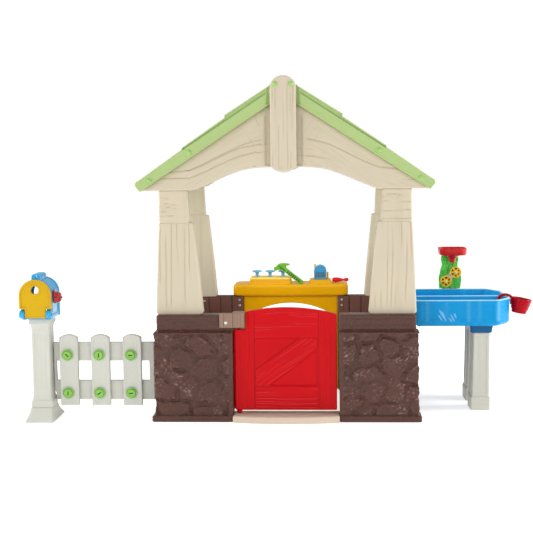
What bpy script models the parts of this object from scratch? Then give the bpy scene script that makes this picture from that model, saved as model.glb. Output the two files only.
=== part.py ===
"""Toddler's plastic playhouse: a four-corner house with a half door, a gabled roof, a workbench at the
back, a picket fence with a mailbox on the left and a sand and water table on the right.

Units are metres, +Z is up. The origin is on the ground at the middle of the doorway, in the plane of the
front walls' outer face. +X is to the right of someone who stands in front of the door, and +Y goes into
the house.
"""

import math

import bmesh
import bpy
from mathutils import Matrix, Vector

# Driving dimensions ---------------------------------------------------------------------------------------
GAP = 0.0003                    # between pieces that touch
RUN = 0.0005                    # around a shaft that turns in a hole

DOORWAY_HALF = 0.2136           # half the doorway's width
WALL_HALF = 0.532               # outer face of the stone walls
LEDGE_HALF = 0.5405             # outer edge of the walls' base ledge
CAP_HALF = 0.5185               # outer end of the cap plank
WALL_THICK = 0.09
HOUSE_DEPTH = 0.697             # front face to back face
LEDGE_TOP = 0.025
STONE_TOP = 0.363
CAP_BOTTOM = 0.372
CAP_TOP = 0.430
GABLE_BOTTOM = 0.928
BACK_ARCH_RISE = 0.018          # how much higher the back gable's arch is
EAVE_HALF = 0.570
RIDGE_LOW = 1.2946              # height of the roof's lower line at the middle
ROOF_SLOPE = 0.648              # fall of the roof's lower line for each metre outwards
DECK_LIFT = 0.025               # from the lower line up to the underside of the roof deck
FASCIA_THICK = 0.03
GABLE_THICK = 0.07
KING_HALF = 0.0505
KING_FRONT = -0.02

THRESHOLD_TOP = 0.028
DIMPLE_FRONT = -0.0275            # centre of the middle dimple
DIMPLE_PITCH = 0.0365
DIMPLE_SIDE_COUNT = 2
DOOR_FRONT = 0.033
DOOR_THICK = 0.034
HINGE_X = -0.19
HINGE_Y = DOOR_FRONT + DOOR_THICK / 2

BENCH_HALF = 0.26
BENCH_TOP = 0.482
BENCH_DEPTH = 0.17
PEG_Y = 0.69
PEG_PITCH = 0.0595
PEG_LEFT = -0.155
VISE_X = 0.1345

MAIL_X = -0.998
MAIL_HALF = 0.0652
MAIL_SPRING = 0.516             # where the mailbox's arch begins
MAIL_PIN_Y = -0.012
MAIL_PIN_Z = 0.440
MAIL_BACK = 0.130
FLAG_Y = 0.045
FLAG_Z = 0.503

POST_X = -0.997
POST_Y = 0.0775
POST_HALF = 0.0385
PICKET_FIRST = -0.890
PICKET_PITCH = 0.1305
PICKET_HALF = 0.0385
PICKET_FRONT = 0.0697
PICKET_THICK = 0.022
RAIL_THICK = 0.025
KNOB_ROWS = (0.105, 0.262)
KNOB_RADIUS = 0.023

TABLE_LEFT = 0.5205
TABLE_RIGHT = 0.921
TABLE_FRONT = 0.16
TABLE_BACK = 0.56
TABLE_RIM = 0.468
TABLE_BOTTOM = 0.358
LEG_X = 0.799
LEG_Y = (0.265, 0.446)
TOWER_X = 0.7075
WHEELS = ((0.7297, 0.544), (0.6875, 0.504))
WHEEL_Y = 0.530
WHEEL_RADIUS = 0.0257
TRAY_X = 0.7135
TRAY_Y = 0.520
TRAY_BOTTOM = 0.617
CUP_X = 0.9605
CUP_Y = 0.270
CUP_TILT = 10.0


# Scene, materials -----------------------------------------------------------------------------------------
def clear_scene():
    for obj in list(bpy.data.objects):
        bpy.data.objects.remove(obj, do_unlink=True)


def linear(value):
    value /= 255.0
    if value <= 0.04045:
        return value / 12.92
    return ((value + 0.055) / 1.055) ** 2.4


def plastic(name, red, green, blue, roughness):
    material = bpy.data.materials.new(name)
    material.use_nodes = True
    shader = material.node_tree.nodes["Principled BSDF"]
    colour = (linear(red), linear(green), linear(blue), 1.0)
    shader.inputs["Base Color"].default_value = colour
    shader.inputs["Roughness"].default_value = roughness
    shader.inputs["Metallic"].default_value = 0.0
    material.diffuse_color = colour
    return material


clear_scene()
PARTS = bpy.data.collections.new("plastic_playhouse")
CUTTERS = bpy.data.collections.new("cutters")
bpy.context.scene.collection.children.link(PARTS)
bpy.context.scene.collection.children.link(CUTTERS)

BROWN = ("brown", 95, 64, 56, 0.55)
BEIGE = ("beige", 218, 208, 188, 0.5)
ROOF_GREEN = ("roof_green", 160, 200, 130, 0.5)
BOLT_GREEN = ("bolt_green", 150, 215, 110, 0.4)
DOOR_RED = ("door_red", 203, 32, 40, 0.45)
TAUPE = ("taupe", 165, 140, 125, 0.5)
YELLOW = ("yellow", 212, 160, 0, 0.4)
TABLE_BLUE = ("table_blue", 10, 148, 212, 0.4)
MAIL_BLUE = ("mail_blue", 50, 165, 220, 0.35)
OFF_WHITE = ("off_white", 216, 216, 208, 0.5)
KNOB_GREEN = ("knob_green", 145, 200, 95, 0.4)
LEAF_GREEN = ("leaf_green", 60, 155, 50, 0.4)
TOY_RED = ("toy_red", 195, 25, 35, 0.35)
PEG_BLUE = ("peg_blue", 90, 155, 205, 0.4)
WHEEL_YELLOW = ("wheel_yellow", 230, 175, 25, 0.4)
SCREW_GREY = ("screw_grey", 190, 188, 182, 0.35)


# Shape helpers --------------------------------------------------------------------------------------------
def register(obj, finish, origin):
    """Gives a piece its material and collection, and moves its origin to a point without moving the piece."""
    name, red, green, blue, roughness = finish
    obj.data.materials.clear()
    obj.data.materials.append(plastic(obj.name + "_" + name, red, green, blue, roughness))
    shift = Vector(origin) - obj.location
    obj.data.transform(Matrix.Translation(-shift))
    obj.location = Vector(origin)
    PARTS.objects.link(obj)
    return obj


def finish_mesh(name, bm, smooth=True):
    bmesh.ops.remove_doubles(bm, verts=bm.verts, dist=0.00001)
    bmesh.ops.recalc_face_normals(bm, faces=bm.faces)
    mesh = bpy.data.meshes.new(name)
    bm.to_mesh(mesh)
    bm.free()
    if smooth:
        mesh.shade_smooth()
        mesh.set_sharp_from_angle(angle=math.radians(35))
    return bpy.data.objects.new(name, mesh)


def arc(centre, radius, start, end, steps):
    """Points on an arc in a plane, angles in degrees."""
    points = []
    for step in range(steps + 1):
        angle = math.radians(start + (end - start) * step / steps)
        points.append((centre[0] + radius * math.cos(angle), centre[1] + radius * math.sin(angle)))
    return points


def inset(points, distance):
    """A convex outline, listed anticlockwise, moved inwards by a distance."""
    moved = []
    count = len(points)
    for index in range(count):
        before = Vector(points[index - 1])
        here = Vector(points[index])
        after = Vector(points[(index + 1) % count])
        first = (here - before).normalized()
        second = (after - here).normalized()
        normal_a = Vector((-first.y, first.x))
        normal_b = Vector((-second.y, second.x))
        corner = (normal_a + normal_b).normalized()
        moved.append(tuple(here + corner * distance / max(corner.dot(normal_a), 0.2)))
    return moved


def fillet(points, radius, steps=3):
    """Rounds each corner of an outline."""
    rounded = []
    count = len(points)
    for index in range(count):
        here = Vector(points[index])
        to_before = (Vector(points[index - 1]) - here).normalized()
        to_after = (Vector(points[(index + 1) % count]) - here).normalized()
        half_angle = math.acos(max(-1.0, min(1.0, to_before.dot(to_after)))) / 2
        reach = radius / math.tan(half_angle)
        start = here + to_before * reach
        end = here + to_after * reach
        for step in range(steps + 1):
            share = step / steps
            near = start.lerp(here, share)
            far = here.lerp(end, share)
            rounded.append(tuple(near.lerp(far, share)))
    return rounded


def rectangle(left, right, low, high):
    return [(left, low), (right, low), (right, high), (left, high)]


def outline_curve(name, outlines, thickness):
    curve = bpy.data.curves.new(name, "CURVE")
    curve.dimensions = "2D"
    curve.fill_mode = "BOTH"
    curve.extrude = thickness / 2
    for outline in outlines:
        spline = curve.splines.new("POLY")
        spline.points.add(len(outline) - 1)
        for point, (across, along) in zip(spline.points, outline):
            point.co = (across, along, 0.0, 1.0)
        spline.use_cyclic_u = True
    return bpy.data.objects.new(name, curve)


def solid_from_curve(obj, placing):
    """Turns a filled outline into a closed mesh, placed by a matrix."""
    bpy.context.scene.collection.objects.link(obj)
    graph = bpy.context.evaluated_depsgraph_get()
    mesh = bpy.data.meshes.new_from_object(obj.evaluated_get(graph))
    mesh.transform(placing)
    bm = bmesh.new()
    bm.from_mesh(mesh)
    name = obj.name
    curve = obj.data
    bpy.data.objects.remove(obj, do_unlink=True)
    bpy.data.curves.remove(curve)
    bpy.data.meshes.remove(mesh)
    return finish_mesh(name, bm)


def upright_plate(name, outlines, front, thickness):
    """Outlines in X and Z, the first one filled and the others holes, from front towards +Y."""
    turn = Matrix.Rotation(math.radians(90), 4, "X")
    middle = Matrix.Translation((0, front + thickness / 2, 0))
    return solid_from_curve(outline_curve(name, outlines, thickness), middle @ turn)


def level_plate(name, outlines, bottom, thickness):
    """Outlines in X and Y, from a height upwards."""
    middle = Matrix.Translation((0, 0, bottom + thickness / 2))
    return solid_from_curve(outline_curve(name, outlines, thickness), middle)


def loft(name, rings):
    """A closed solid through rings of equal length, each a list of 3-D points, bottom ring first."""
    bm = bmesh.new()
    layers = []
    for ring in rings:
        layers.append([bm.verts.new(point) for point in ring])
    for lower, upper in zip(layers, layers[1:]):
        count = len(lower)
        for index in range(count):
            following = (index + 1) % count
            bm.faces.new((lower[index], lower[following], upper[following], upper[index]))
    bm.faces.new(list(reversed(layers[0])))
    bm.faces.new(layers[-1])
    return finish_mesh(name, bm)


def stack(name, levels, corner=0.006, steps=2):
    """A post whose rectangular section changes with height. Each level: z, left, right, front, back."""
    rings = []
    for height, left, right, front, back in levels:
        outline = fillet(rectangle(left, right, front, back), corner, steps)
        rings.append([(across, along, height) for across, along in outline])
    return loft(name, rings)


def turned(name, profile, axis, centre, steps=24):
    """A turned solid. The profile lists radius and distance along the axis, from one end to the other."""
    mesh = bpy.data.meshes.new(name)
    verts = [(radius, 0.0, along) for radius, along in profile]
    edges = [(index, index + 1) for index in range(len(profile) - 1)]
    mesh.from_pydata(verts, edges, [])
    obj = bpy.data.objects.new(name, mesh)
    bpy.context.scene.collection.objects.link(obj)
    screw = obj.modifiers.new("turn", "SCREW")
    screw.steps = steps
    screw.render_steps = steps
    screw.use_merge_vertices = True
    screw.merge_threshold = 0.00001
    graph = bpy.context.evaluated_depsgraph_get()
    turned_mesh = bpy.data.meshes.new_from_object(obj.evaluated_get(graph))
    bpy.data.objects.remove(obj, do_unlink=True)
    bpy.data.meshes.remove(mesh)
    turns = {"X": Matrix.Rotation(math.radians(90), 4, "Y"), "Y": Matrix.Rotation(math.radians(90), 4, "X")}
    turned_mesh.transform(Matrix.Translation(centre) @ turns.get(axis, Matrix.Identity(4)))
    bm = bmesh.new()
    bm.from_mesh(turned_mesh)
    bpy.data.meshes.remove(turned_mesh)
    return finish_mesh(name, bm)


def box(name, left, right, front, back, bottom, top):
    bm = bmesh.new()
    size = Matrix.Diagonal((right - left, back - front, top - bottom, 1.0))
    middle = Matrix.Translation(((left + right) / 2, (front + back) / 2, (bottom + top) / 2))
    bmesh.ops.create_cube(bm, size=1.0, matrix=middle @ size)
    return finish_mesh(name, bm, smooth=False)


def rod(name, axis, centre, radius, length, steps=16):
    """A cylinder centred on a point."""
    bm = bmesh.new()
    turns = {"X": Matrix.Rotation(math.radians(90), 4, "Y"), "Y": Matrix.Rotation(math.radians(90), 4, "X")}
    placing = Matrix.Translation(centre) @ turns.get(axis, Matrix.Identity(4))
    bmesh.ops.create_cone(bm, cap_ends=True, segments=steps, radius1=radius, radius2=radius, depth=length,
                          matrix=placing)
    return finish_mesh(name, bm)


def helper(obj):
    """Keeps a cutter or a joined-on shape out of the parts."""
    CUTTERS.objects.link(obj)
    obj.hide_render = True
    obj.display_type = "WIRE"
    return obj


def cut(obj, tool):
    step = obj.modifiers.new("cut_" + tool.name, "BOOLEAN")
    step.operation = "DIFFERENCE"
    step.solver = "EXACT"
    step.object = helper(tool)


def join(obj, addition):
    step = obj.modifiers.new("join_" + addition.name, "BOOLEAN")
    step.operation = "UNION"
    step.solver = "EXACT"
    step.object = helper(addition)


def soften(obj, width, segments=2, angle=40):
    step = obj.modifiers.new("soften", "BEVEL")
    step.width = width
    step.segments = segments
    step.limit_method = "ANGLE"
    step.angle_limit = math.radians(angle)


def bolt(name, x, z, front, direction, shank_length, finish=BOLT_GREEN):
    """A domed head with a shank along Y. direction is 1 where the shank goes towards +Y."""
    profile = [(0.0, -0.006), (0.005, -0.0055), (0.009, -0.0035), (0.0115, 0.0), (0.004, 0.0),
               (0.004, shank_length), (0.0, shank_length)]
    obj = turned(name, [(radius, -along * direction) for radius, along in profile], "Y", (x, front, z), 10)
    return register(obj, finish, (x, front, z))


def bore(obj, x, z, front, length, radius, steps=12):
    """A hole along Y through or into a piece."""
    name = "%s_bore_%d" % (obj.name, len(obj.modifiers))
    cut(obj, rod(name, "Y", (x, front + length / 2, z), radius, length, steps))


# House ----------------------------------------------------------------------------------------------------
def wall(name, side, front, back, outward):
    """A stone wall beside the doorway. outward is -1 where the wall's outer face is at its front."""
    def level(height, outer, recess):
        left, right = sorted((side * DOORWAY_HALF, side * outer))
        face = front + recess if outward < 0 else front
        rear = back if outward < 0 else back - recess
        return height, left, right, face, rear
    levels = [level(0.0, LEDGE_HALF, 0.0), level(LEDGE_TOP - 0.003, LEDGE_HALF, 0.0),
              level(LEDGE_TOP, WALL_HALF, 0.004), level(STONE_TOP - 0.005, WALL_HALF, 0.004),
              level(STONE_TOP, WALL_HALF - 0.004, 0.008), level(STONE_TOP + 0.002, CAP_HALF - 0.004, 0.024),
              level(CAP_BOTTOM - 0.002, CAP_HALF - 0.004, 0.024), level(CAP_BOTTOM, CAP_HALF, 0.018),
              level(CAP_TOP - 0.004, CAP_HALF, 0.018), level(CAP_TOP, CAP_HALF - 0.004, 0.022)]
    obj = stack(name, levels, 0.008)
    return register(obj, BROWN, (side * (DOORWAY_HALF + WALL_HALF) / 2, (front + back) / 2, 0.0))


def side_wall(name, side):
    left, right = sorted((side * 0.470, side * 0.520))
    front = WALL_THICK + GAP
    back = HOUSE_DEPTH - WALL_THICK - GAP
    cap_left, cap_right = left + 0.004, right - 0.004
    levels = [(0.0, left, right, front, back), (STONE_TOP, left, right, front, back),
              (CAP_BOTTOM, cap_left, cap_right, front, back), (CAP_TOP, cap_left, cap_right, front, back)]
    obj = stack(name, levels, 0.002, 1)
    return register(obj, BROWN, (side * 0.495, HOUSE_DEPTH / 2, 0.0))


def pillar(name, side, front, back):
    step_height = 0.80
    measures = [(CAP_TOP + GAP, 0.334, 0.5185), (CAP_TOP + 0.012, 0.331, 0.5214), (0.57, 0.342, 0.5168),
                (step_height, 0.366, 0.5050), (step_height + 0.003, 0.379, 0.5045),
                (GABLE_BOTTOM - GAP, 0.3855, 0.5015)]
    levels = []
    for height, inner, outer in measures:
        left, right = sorted((side * inner, side * outer))
        levels.append((height, left, right, front, back))
    obj = stack(name, levels, 0.008)
    return register(obj, BEIGE, (side * 0.43, (front + back) / 2, CAP_TOP))


def threshold():
    half = DOORWAY_HALF - GAP
    bow = 0.022
    front_edge = -0.013
    radius = (half * half + bow * bow) / (2 * bow)
    sweep = math.degrees(math.asin(half / radius))
    centre = (0.0, front_edge - bow + radius)
    outline = arc(centre, radius, 270 - sweep, 270 + sweep, 12)
    outline += [(half, 0.085), (-half, 0.085)]
    obj = level_plate("threshold", [outline], 0.0, THRESHOLD_TOP)
    soften(obj, 0.004)
    cut(obj, rod("threshold_pivot_hole", "Z", (HINGE_X, HINGE_Y, THRESHOLD_TOP), 0.0065, 0.030))
    dimple = [(0.0, 0.006), (0.006, 0.004), (0.007, 0.0), (0.006, -0.0025), (0.0, -0.0035)]
    for order in range(-DIMPLE_SIDE_COUNT, DIMPLE_SIDE_COUNT + 1):
        across = DIMPLE_PITCH * order
        along = DIMPLE_FRONT + across * across / (2 * radius)
        cut(obj, turned("threshold_dimple_%d" % order, dimple, "Z", (across, along, THRESHOLD_TOP), 10))
    return register(obj, BEIGE, (0.0, 0.0, 0.0))


def roof_line(across):
    """Height of the roof's lower line."""
    return RIDGE_LOW - ROOF_SLOPE * across


def gable(name, side, front):
    """Half of a gable board; the back one's arch is a little higher."""
    outer = 0.565
    lift = DECK_LIFT - GAP
    rise = BACK_ARCH_RISE if front > 0.5 * HOUSE_DEPTH else 0.0
    arch = [(0.321, 0.945), (0.253, 0.974), (0.1735, 1.004), (0.114, 1.014), (0.055, 1.0165),
            (GAP / 2, 1.017)]
    outline = [(GAP / 2, roof_line(0.0) + lift), (outer, roof_line(outer) + lift), (outer, GABLE_BOTTOM),
               (0.373, GABLE_BOTTOM)]
    outline += [(across, height + rise) for across, height in arch]
    obj = upright_plate(name, [[(side * across, height) for across, height in outline]], front, GABLE_THICK)
    soften(obj, 0.004, 1, 50)
    return register(obj, BEIGE, (side * 0.28, front + GABLE_THICK / 2, GABLE_BOTTOM))


def king_post(name, front):
    shoulder_top = 1.335
    shoulder_bottom = 1.020
    crown = 0.035
    drop = 0.024
    top_radius = (KING_HALF ** 2 + crown ** 2) / (2 * crown)
    bottom_radius = (KING_HALF ** 2 + drop ** 2) / (2 * drop)
    top_sweep = math.degrees(math.asin(KING_HALF / top_radius))
    bottom_sweep = math.degrees(math.asin(KING_HALF / bottom_radius))
    outline = arc((0.0, shoulder_top + crown - top_radius), top_radius, 90 - top_sweep, 90 + top_sweep, 10)
    outline += arc((0.0, shoulder_bottom - drop + bottom_radius), bottom_radius, 270 - bottom_sweep,
                   270 + bottom_sweep, 8)
    thickness = FASCIA_THICK - KING_FRONT - GAP
    obj = upright_plate(name, [outline], front, thickness)
    soften(obj, 0.005)
    return register(obj, BEIGE, (0.0, front + thickness / 2, shoulder_bottom))


def roof_panel(name, side):
    """Deck with stepped shingle courses, a fascia lip along both gables and a lip along the eave."""
    courses = [(EAVE_HALF, roof_line(EAVE_HALF)), (0.589, 0.949), (0.587, 0.961), (0.5665, 0.974),
               (0.402, 1.088), (0.3976, 1.097), (0.2306, 1.210), (0.2304, 1.2205), (0.0574, 1.330),
               (0.040, 1.345), (GAP / 2, 1.350), (GAP / 2, RIDGE_LOW)]
    outline = [(side * across, height) for across, height in courses]
    obj = upright_plate(name, [outline], 0.0, HOUSE_DEPTH)
    soften(obj, 0.002, 1, 60)
    deck = EAVE_HALF - 0.004
    hollow = [(-0.02, roof_line(-0.02) + DECK_LIFT), (deck, roof_line(deck) + DECK_LIFT),
              (deck, roof_line(deck) - 0.06), (-0.02, roof_line(-0.02) - 0.06)]
    span = HOUSE_DEPTH - 2 * FASCIA_THICK
    cut(obj, upright_plate(name + "_hollow", [[(side * across, height) for across, height in hollow]],
                           FASCIA_THICK, span))
    notch = KING_HALF + GAP
    cut(obj, box(name + "_front_notch", -notch, notch, -0.05, FASCIA_THICK + GAP, 1.2, 1.4))
    back_notch = HOUSE_DEPTH - FASCIA_THICK - GAP
    cut(obj, box(name + "_back_notch", -notch, notch, back_notch, HOUSE_DEPTH + 0.05, 1.2, 1.4))
    return register(obj, ROOF_GREEN, (0.0, HOUSE_DEPTH / 2, RIDGE_LOW))


def house():
    threshold()
    back_front = HOUSE_DEPTH - WALL_THICK
    walls = {}
    for word, side in (("left", -1), ("right", 1)):
        walls[word] = wall("front_%s_wall" % word, side, 0.0, WALL_THICK, -1)
        wall("back_%s_wall" % word, side, back_front, HOUSE_DEPTH, 1)
        side_wall("%s_side_wall" % word, side)
        pillar("front_%s_pillar" % word, side, 0.045, WALL_THICK)
        pillar("back_%s_pillar" % word, side, back_front, HOUSE_DEPTH - 0.045)
        front_gable = gable("front_%s_gable" % word, side, FASCIA_THICK + GAP)
        gable("back_%s_gable" % word, side, HOUSE_DEPTH - FASCIA_THICK - GAP - GABLE_THICK)
        panel = roof_panel("%s_roof_panel" % word, side)
        for order, (across, height) in enumerate(((0.3705, 1.077), (0.531, 0.967))):
            bore(panel, side * across, height, -0.01, 0.07, 0.0045)
            bore(front_gable, side * across, height, -0.01, 0.07, 0.0045)
            bolt("%s_roof_bolt_%d" % (word, order + 1), side * across, height, -GAP, 1, 0.055)
        bore(panel, side * 0.032, 1.337, 0.0, 0.055, 0.0045)
    post = king_post("front_king_post", KING_FRONT)
    king_post("back_king_post", HOUSE_DEPTH - FASCIA_THICK + GAP)
    for word, side in (("left", -1), ("right", 1)):
        bore(post, side * 0.032, 1.337, KING_FRONT - 0.01, 0.08, 0.0045)
        bolt("%s_king_bolt" % word, side * 0.032, 1.337, KING_FRONT - GAP, 1, 0.070)
    return walls


# Door -----------------------------------------------------------------------------------------------------
def door():
    left, right = -0.2054, 0.2035
    bottom, shoulder, crown = 0.042, 0.430, 0.457
    notch_x, notch_top = -0.162, 0.371
    half = (right - left) / 2
    rise = crown - shoulder
    radius = (half * half + rise * rise) / (2 * rise)
    middle = (left + right) / 2
    start = math.degrees(math.asin((right - middle) / radius))
    end = math.degrees(math.asin((notch_x - middle) / radius))
    top = arc((middle, crown - radius), radius, 90 - start, 90 - end, 12)
    outline = [(left, bottom), (right, bottom)] + top + [(notch_x, notch_top), (left, notch_top)]
    obj = upright_plate("door", [outline], DOOR_FRONT, DOOR_THICK)
    soften(obj, 0.003)
    panel_low, panel_high, panel_half = 0.139, 0.336, 0.125
    upper = [(-panel_half, 0.200), (-panel_half, panel_high), (0.062, panel_high)]
    lower = [(panel_half, 0.293), (panel_half, panel_low), (-0.075, panel_low)]
    for word, pocket in (("upper", upper), ("lower", lower)):
        cut(obj, upright_plate("door_%s_pocket" % word, [pocket], DOOR_FRONT - 0.01, 0.016))
    join(obj, rod("door_top_pin", "Z", (HINGE_X, HINGE_Y, 0.385), 0.005, 0.050))
    foot = [(0.0, 0.052), (0.011, 0.052), (0.011, 0.0305), (0.0055, 0.0305), (0.0055, 0.016), (0.0, 0.016)]
    join(obj, turned("door_foot", foot, "Z", (HINGE_X, HINGE_Y, 0.0), 16))
    return register(obj, DOOR_RED, (HINGE_X, HINGE_Y, bottom))


def hinge_bracket(front_wall):
    front, strap_back = 0.004, 0.0175
    nose = 0.0262
    outline = [(-0.2634, front), (HINGE_X + nose, front)]
    outline += arc((HINGE_X, HINGE_Y), nose, 0, 152, 9)
    outline += [(-0.2131, strap_back), (-0.2634, strap_back)]
    obj = level_plate("hinge_bracket", [outline], 0.382, 0.058)
    soften(obj, 0.002, 1, 60)
    cut(obj, rod("bracket_pin_hole", "Z", (HINGE_X, HINGE_Y, 0.395), 0.0057, 0.040))
    bore(obj, -0.237, 0.402, 0.0, 0.03, 0.0035)
    register(obj, TAUPE, (HINGE_X, HINGE_Y, 0.382))
    bore(front_wall, -0.237, 0.402, 0.01, 0.035, 0.0035)
    profile = [(0.0, -0.003), (0.0045, -0.0025), (0.0065, 0.0), (0.003, 0.0), (0.003, 0.030), (0.0, 0.030)]
    screw_profile = [(radius, -along) for radius, along in profile]
    screw = turned("bracket_screw", screw_profile, "Y", (-0.237, front - GAP, 0.402), 12)
    register(screw, SCREW_GREY, (-0.237, front, 0.402))


# Workbench ------------------------------------------------------------------------------------------------
def workbench():
    front = HOUSE_DEPTH - WALL_THICK
    back = front + BENCH_DEPTH
    slab = stack("workbench_top", [
        (CAP_TOP + GAP, -BENCH_HALF + 0.005, BENCH_HALF - 0.005, front + 0.004, back - 0.004),
        (CAP_TOP + 0.008, -BENCH_HALF, BENCH_HALF, front, back),
        (BENCH_TOP - 0.006, -BENCH_HALF, BENCH_HALF, front, back),
        (BENCH_TOP, -BENCH_HALF + 0.006, BENCH_HALF - 0.006, front + 0.006, back - 0.006)], 0.014, 3)
    join(slab, stack("peg_platform", [(BENCH_TOP - 0.02, -0.190, 0.0055, 0.632, 0.750),
                                      (0.511, -0.183, -0.001, 0.638, 0.744)], 0.008))
    join(slab, stack("vise_platform", [(BENCH_TOP - 0.015, 0.082, 0.187, 0.640, 0.745),
                                       (0.4995, 0.088, 0.181, 0.646, 0.739)], 0.008))
    join(slab, box("vise_guide_tall", VISE_X - 0.028, VISE_X - 0.021, 0.722, 0.730, 0.495, 0.573))
    join(slab, box("vise_guide_low", VISE_X + 0.0293, VISE_X + 0.038, 0.675, 0.705, 0.495, 0.531))
    for step in range(3):
        hole = (PEG_LEFT + step * PEG_PITCH, PEG_Y, 0.47)
        cut(slab, rod("peg_hole_%d" % step, "Z", hole, 0.0085, 0.12, 16))
    register(slab, YELLOW, (0.0, front, BENCH_TOP))

    half = DOORWAY_HALF - 0.003
    legs = 0.165
    radius = 0.355
    sweep = math.degrees(math.asin(legs / radius))
    opening = arc((0.0, 0.397 - radius), radius, 90 - sweep, 90 + sweep, 14)
    outline = [(-legs, 0.0), (-half, 0.0), (-half, CAP_TOP), (half, CAP_TOP), (half, 0.0), (legs, 0.0)]
    outline += opening
    panel = upright_plate("workbench_panel", [outline], front + 0.018, 0.04)
    soften(panel, 0.004, 1, 60)
    register(panel, YELLOW, (0.0, front + 0.038, 0.0))


def peg(name, x):
    top = 0.541
    profile = [(0.0, 0.0), (0.017, -0.001), (0.022, -0.003), (0.023, -0.0055), (0.018, -0.008),
               (0.0075, -0.0105), (0.0075, -0.029), (0.008, -0.030), (0.008, -0.100), (0.0, -0.100)]
    return register(turned(name, profile, "Z", (x, PEG_Y, top), 14), PEG_BLUE, (x, PEG_Y, 0.511))


def vise_jaw():
    half = 0.0283
    bottom = 0.4995 + GAP
    outline = [(VISE_X - half, bottom), (VISE_X + half, bottom)] + arc((VISE_X, 0.536), half, 0, 180, 14)
    obj = upright_plate("vise_jaw", [outline], 0.662, 0.045)
    soften(obj, 0.003, 1, 60)
    return register(obj, MAIL_BLUE, (VISE_X, 0.684, bottom))


def hammer():
    head = [(-0.076, 0.5415), (-0.0655, 0.5415), (-0.060, 0.5455), (-0.036, 0.5455), (0.046, 0.4835),
            (0.053, 0.4835), (0.0575, 0.488), (0.0555, 0.4965), (-0.018, 0.5525), (-0.022, 0.5605),
            (-0.018, 0.5655), (-0.0045, 0.5665), (-0.0045, 0.5735), (-0.030, 0.5765), (-0.050, 0.5745),
            (-0.062, 0.5655), (-0.067, 0.5595), (-0.076, 0.5575)]
    thickness = 0.018
    middle = -0.01
    front = PEG_Y - 0.041
    obj = upright_plate("hammer", [head], -thickness / 2, thickness)
    turn = Matrix.Translation((middle, front, 0)) @ Matrix.Rotation(math.radians(-13.5), 4, "Z")
    obj.data.transform(turn @ Matrix.Translation((-middle, 0, 0)))
    soften(obj, 0.0025, 1, 30)
    return register(obj, KNOB_GREEN, (middle, front, 0.55))


def screwdriver():
    profile = [(0.0, 0.076), (0.0065, 0.074), (0.0085, 0.067), (0.0075, 0.060), (0.0045, 0.053),
               (0.0055, 0.045), (0.0105, 0.030), (0.0115, 0.018), (0.0100, 0.006), (0.0060, 0.001), (0.0, 0.0)]
    obj = turned("screwdriver", profile, "X", (0.1885, 0.700, BENCH_TOP + 0.0118), 16)
    return register(obj, TOY_RED, (0.210, 0.700, BENCH_TOP + 0.0118))


# Mailbox and post -----------------------------------------------------------------------------------------
def mailbox_post():
    def level(height, half, half_depth):
        return height, POST_X - half, POST_X + half, POST_Y - half_depth, POST_Y + half_depth
    levels = [level(0.0, 0.059, 0.0975), level(0.010, 0.057, 0.092), level(0.030, 0.050, 0.066),
              level(0.050, 0.0465, 0.050), level(0.052, 0.0455, 0.0445), level(0.078, 0.0455, 0.0445),
              level(0.098, 0.0410, 0.0400), level(0.115, POST_HALF, 0.0375), level(0.378, POST_HALF, 0.0375),
              level(0.386, 0.0425, 0.0415), level(0.400, 0.0460, 0.0450), level(0.4177, 0.0465, 0.0455)]
    return register(stack("mailbox_post", levels, 0.007), OFF_WHITE, (POST_X, POST_Y, 0.0))


def mailbox_arch(half, bottom):
    return [(MAIL_X - half, bottom), (MAIL_X + half, bottom)] + arc((MAIL_X, MAIL_SPRING), half, 0, 180, 16)


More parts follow.
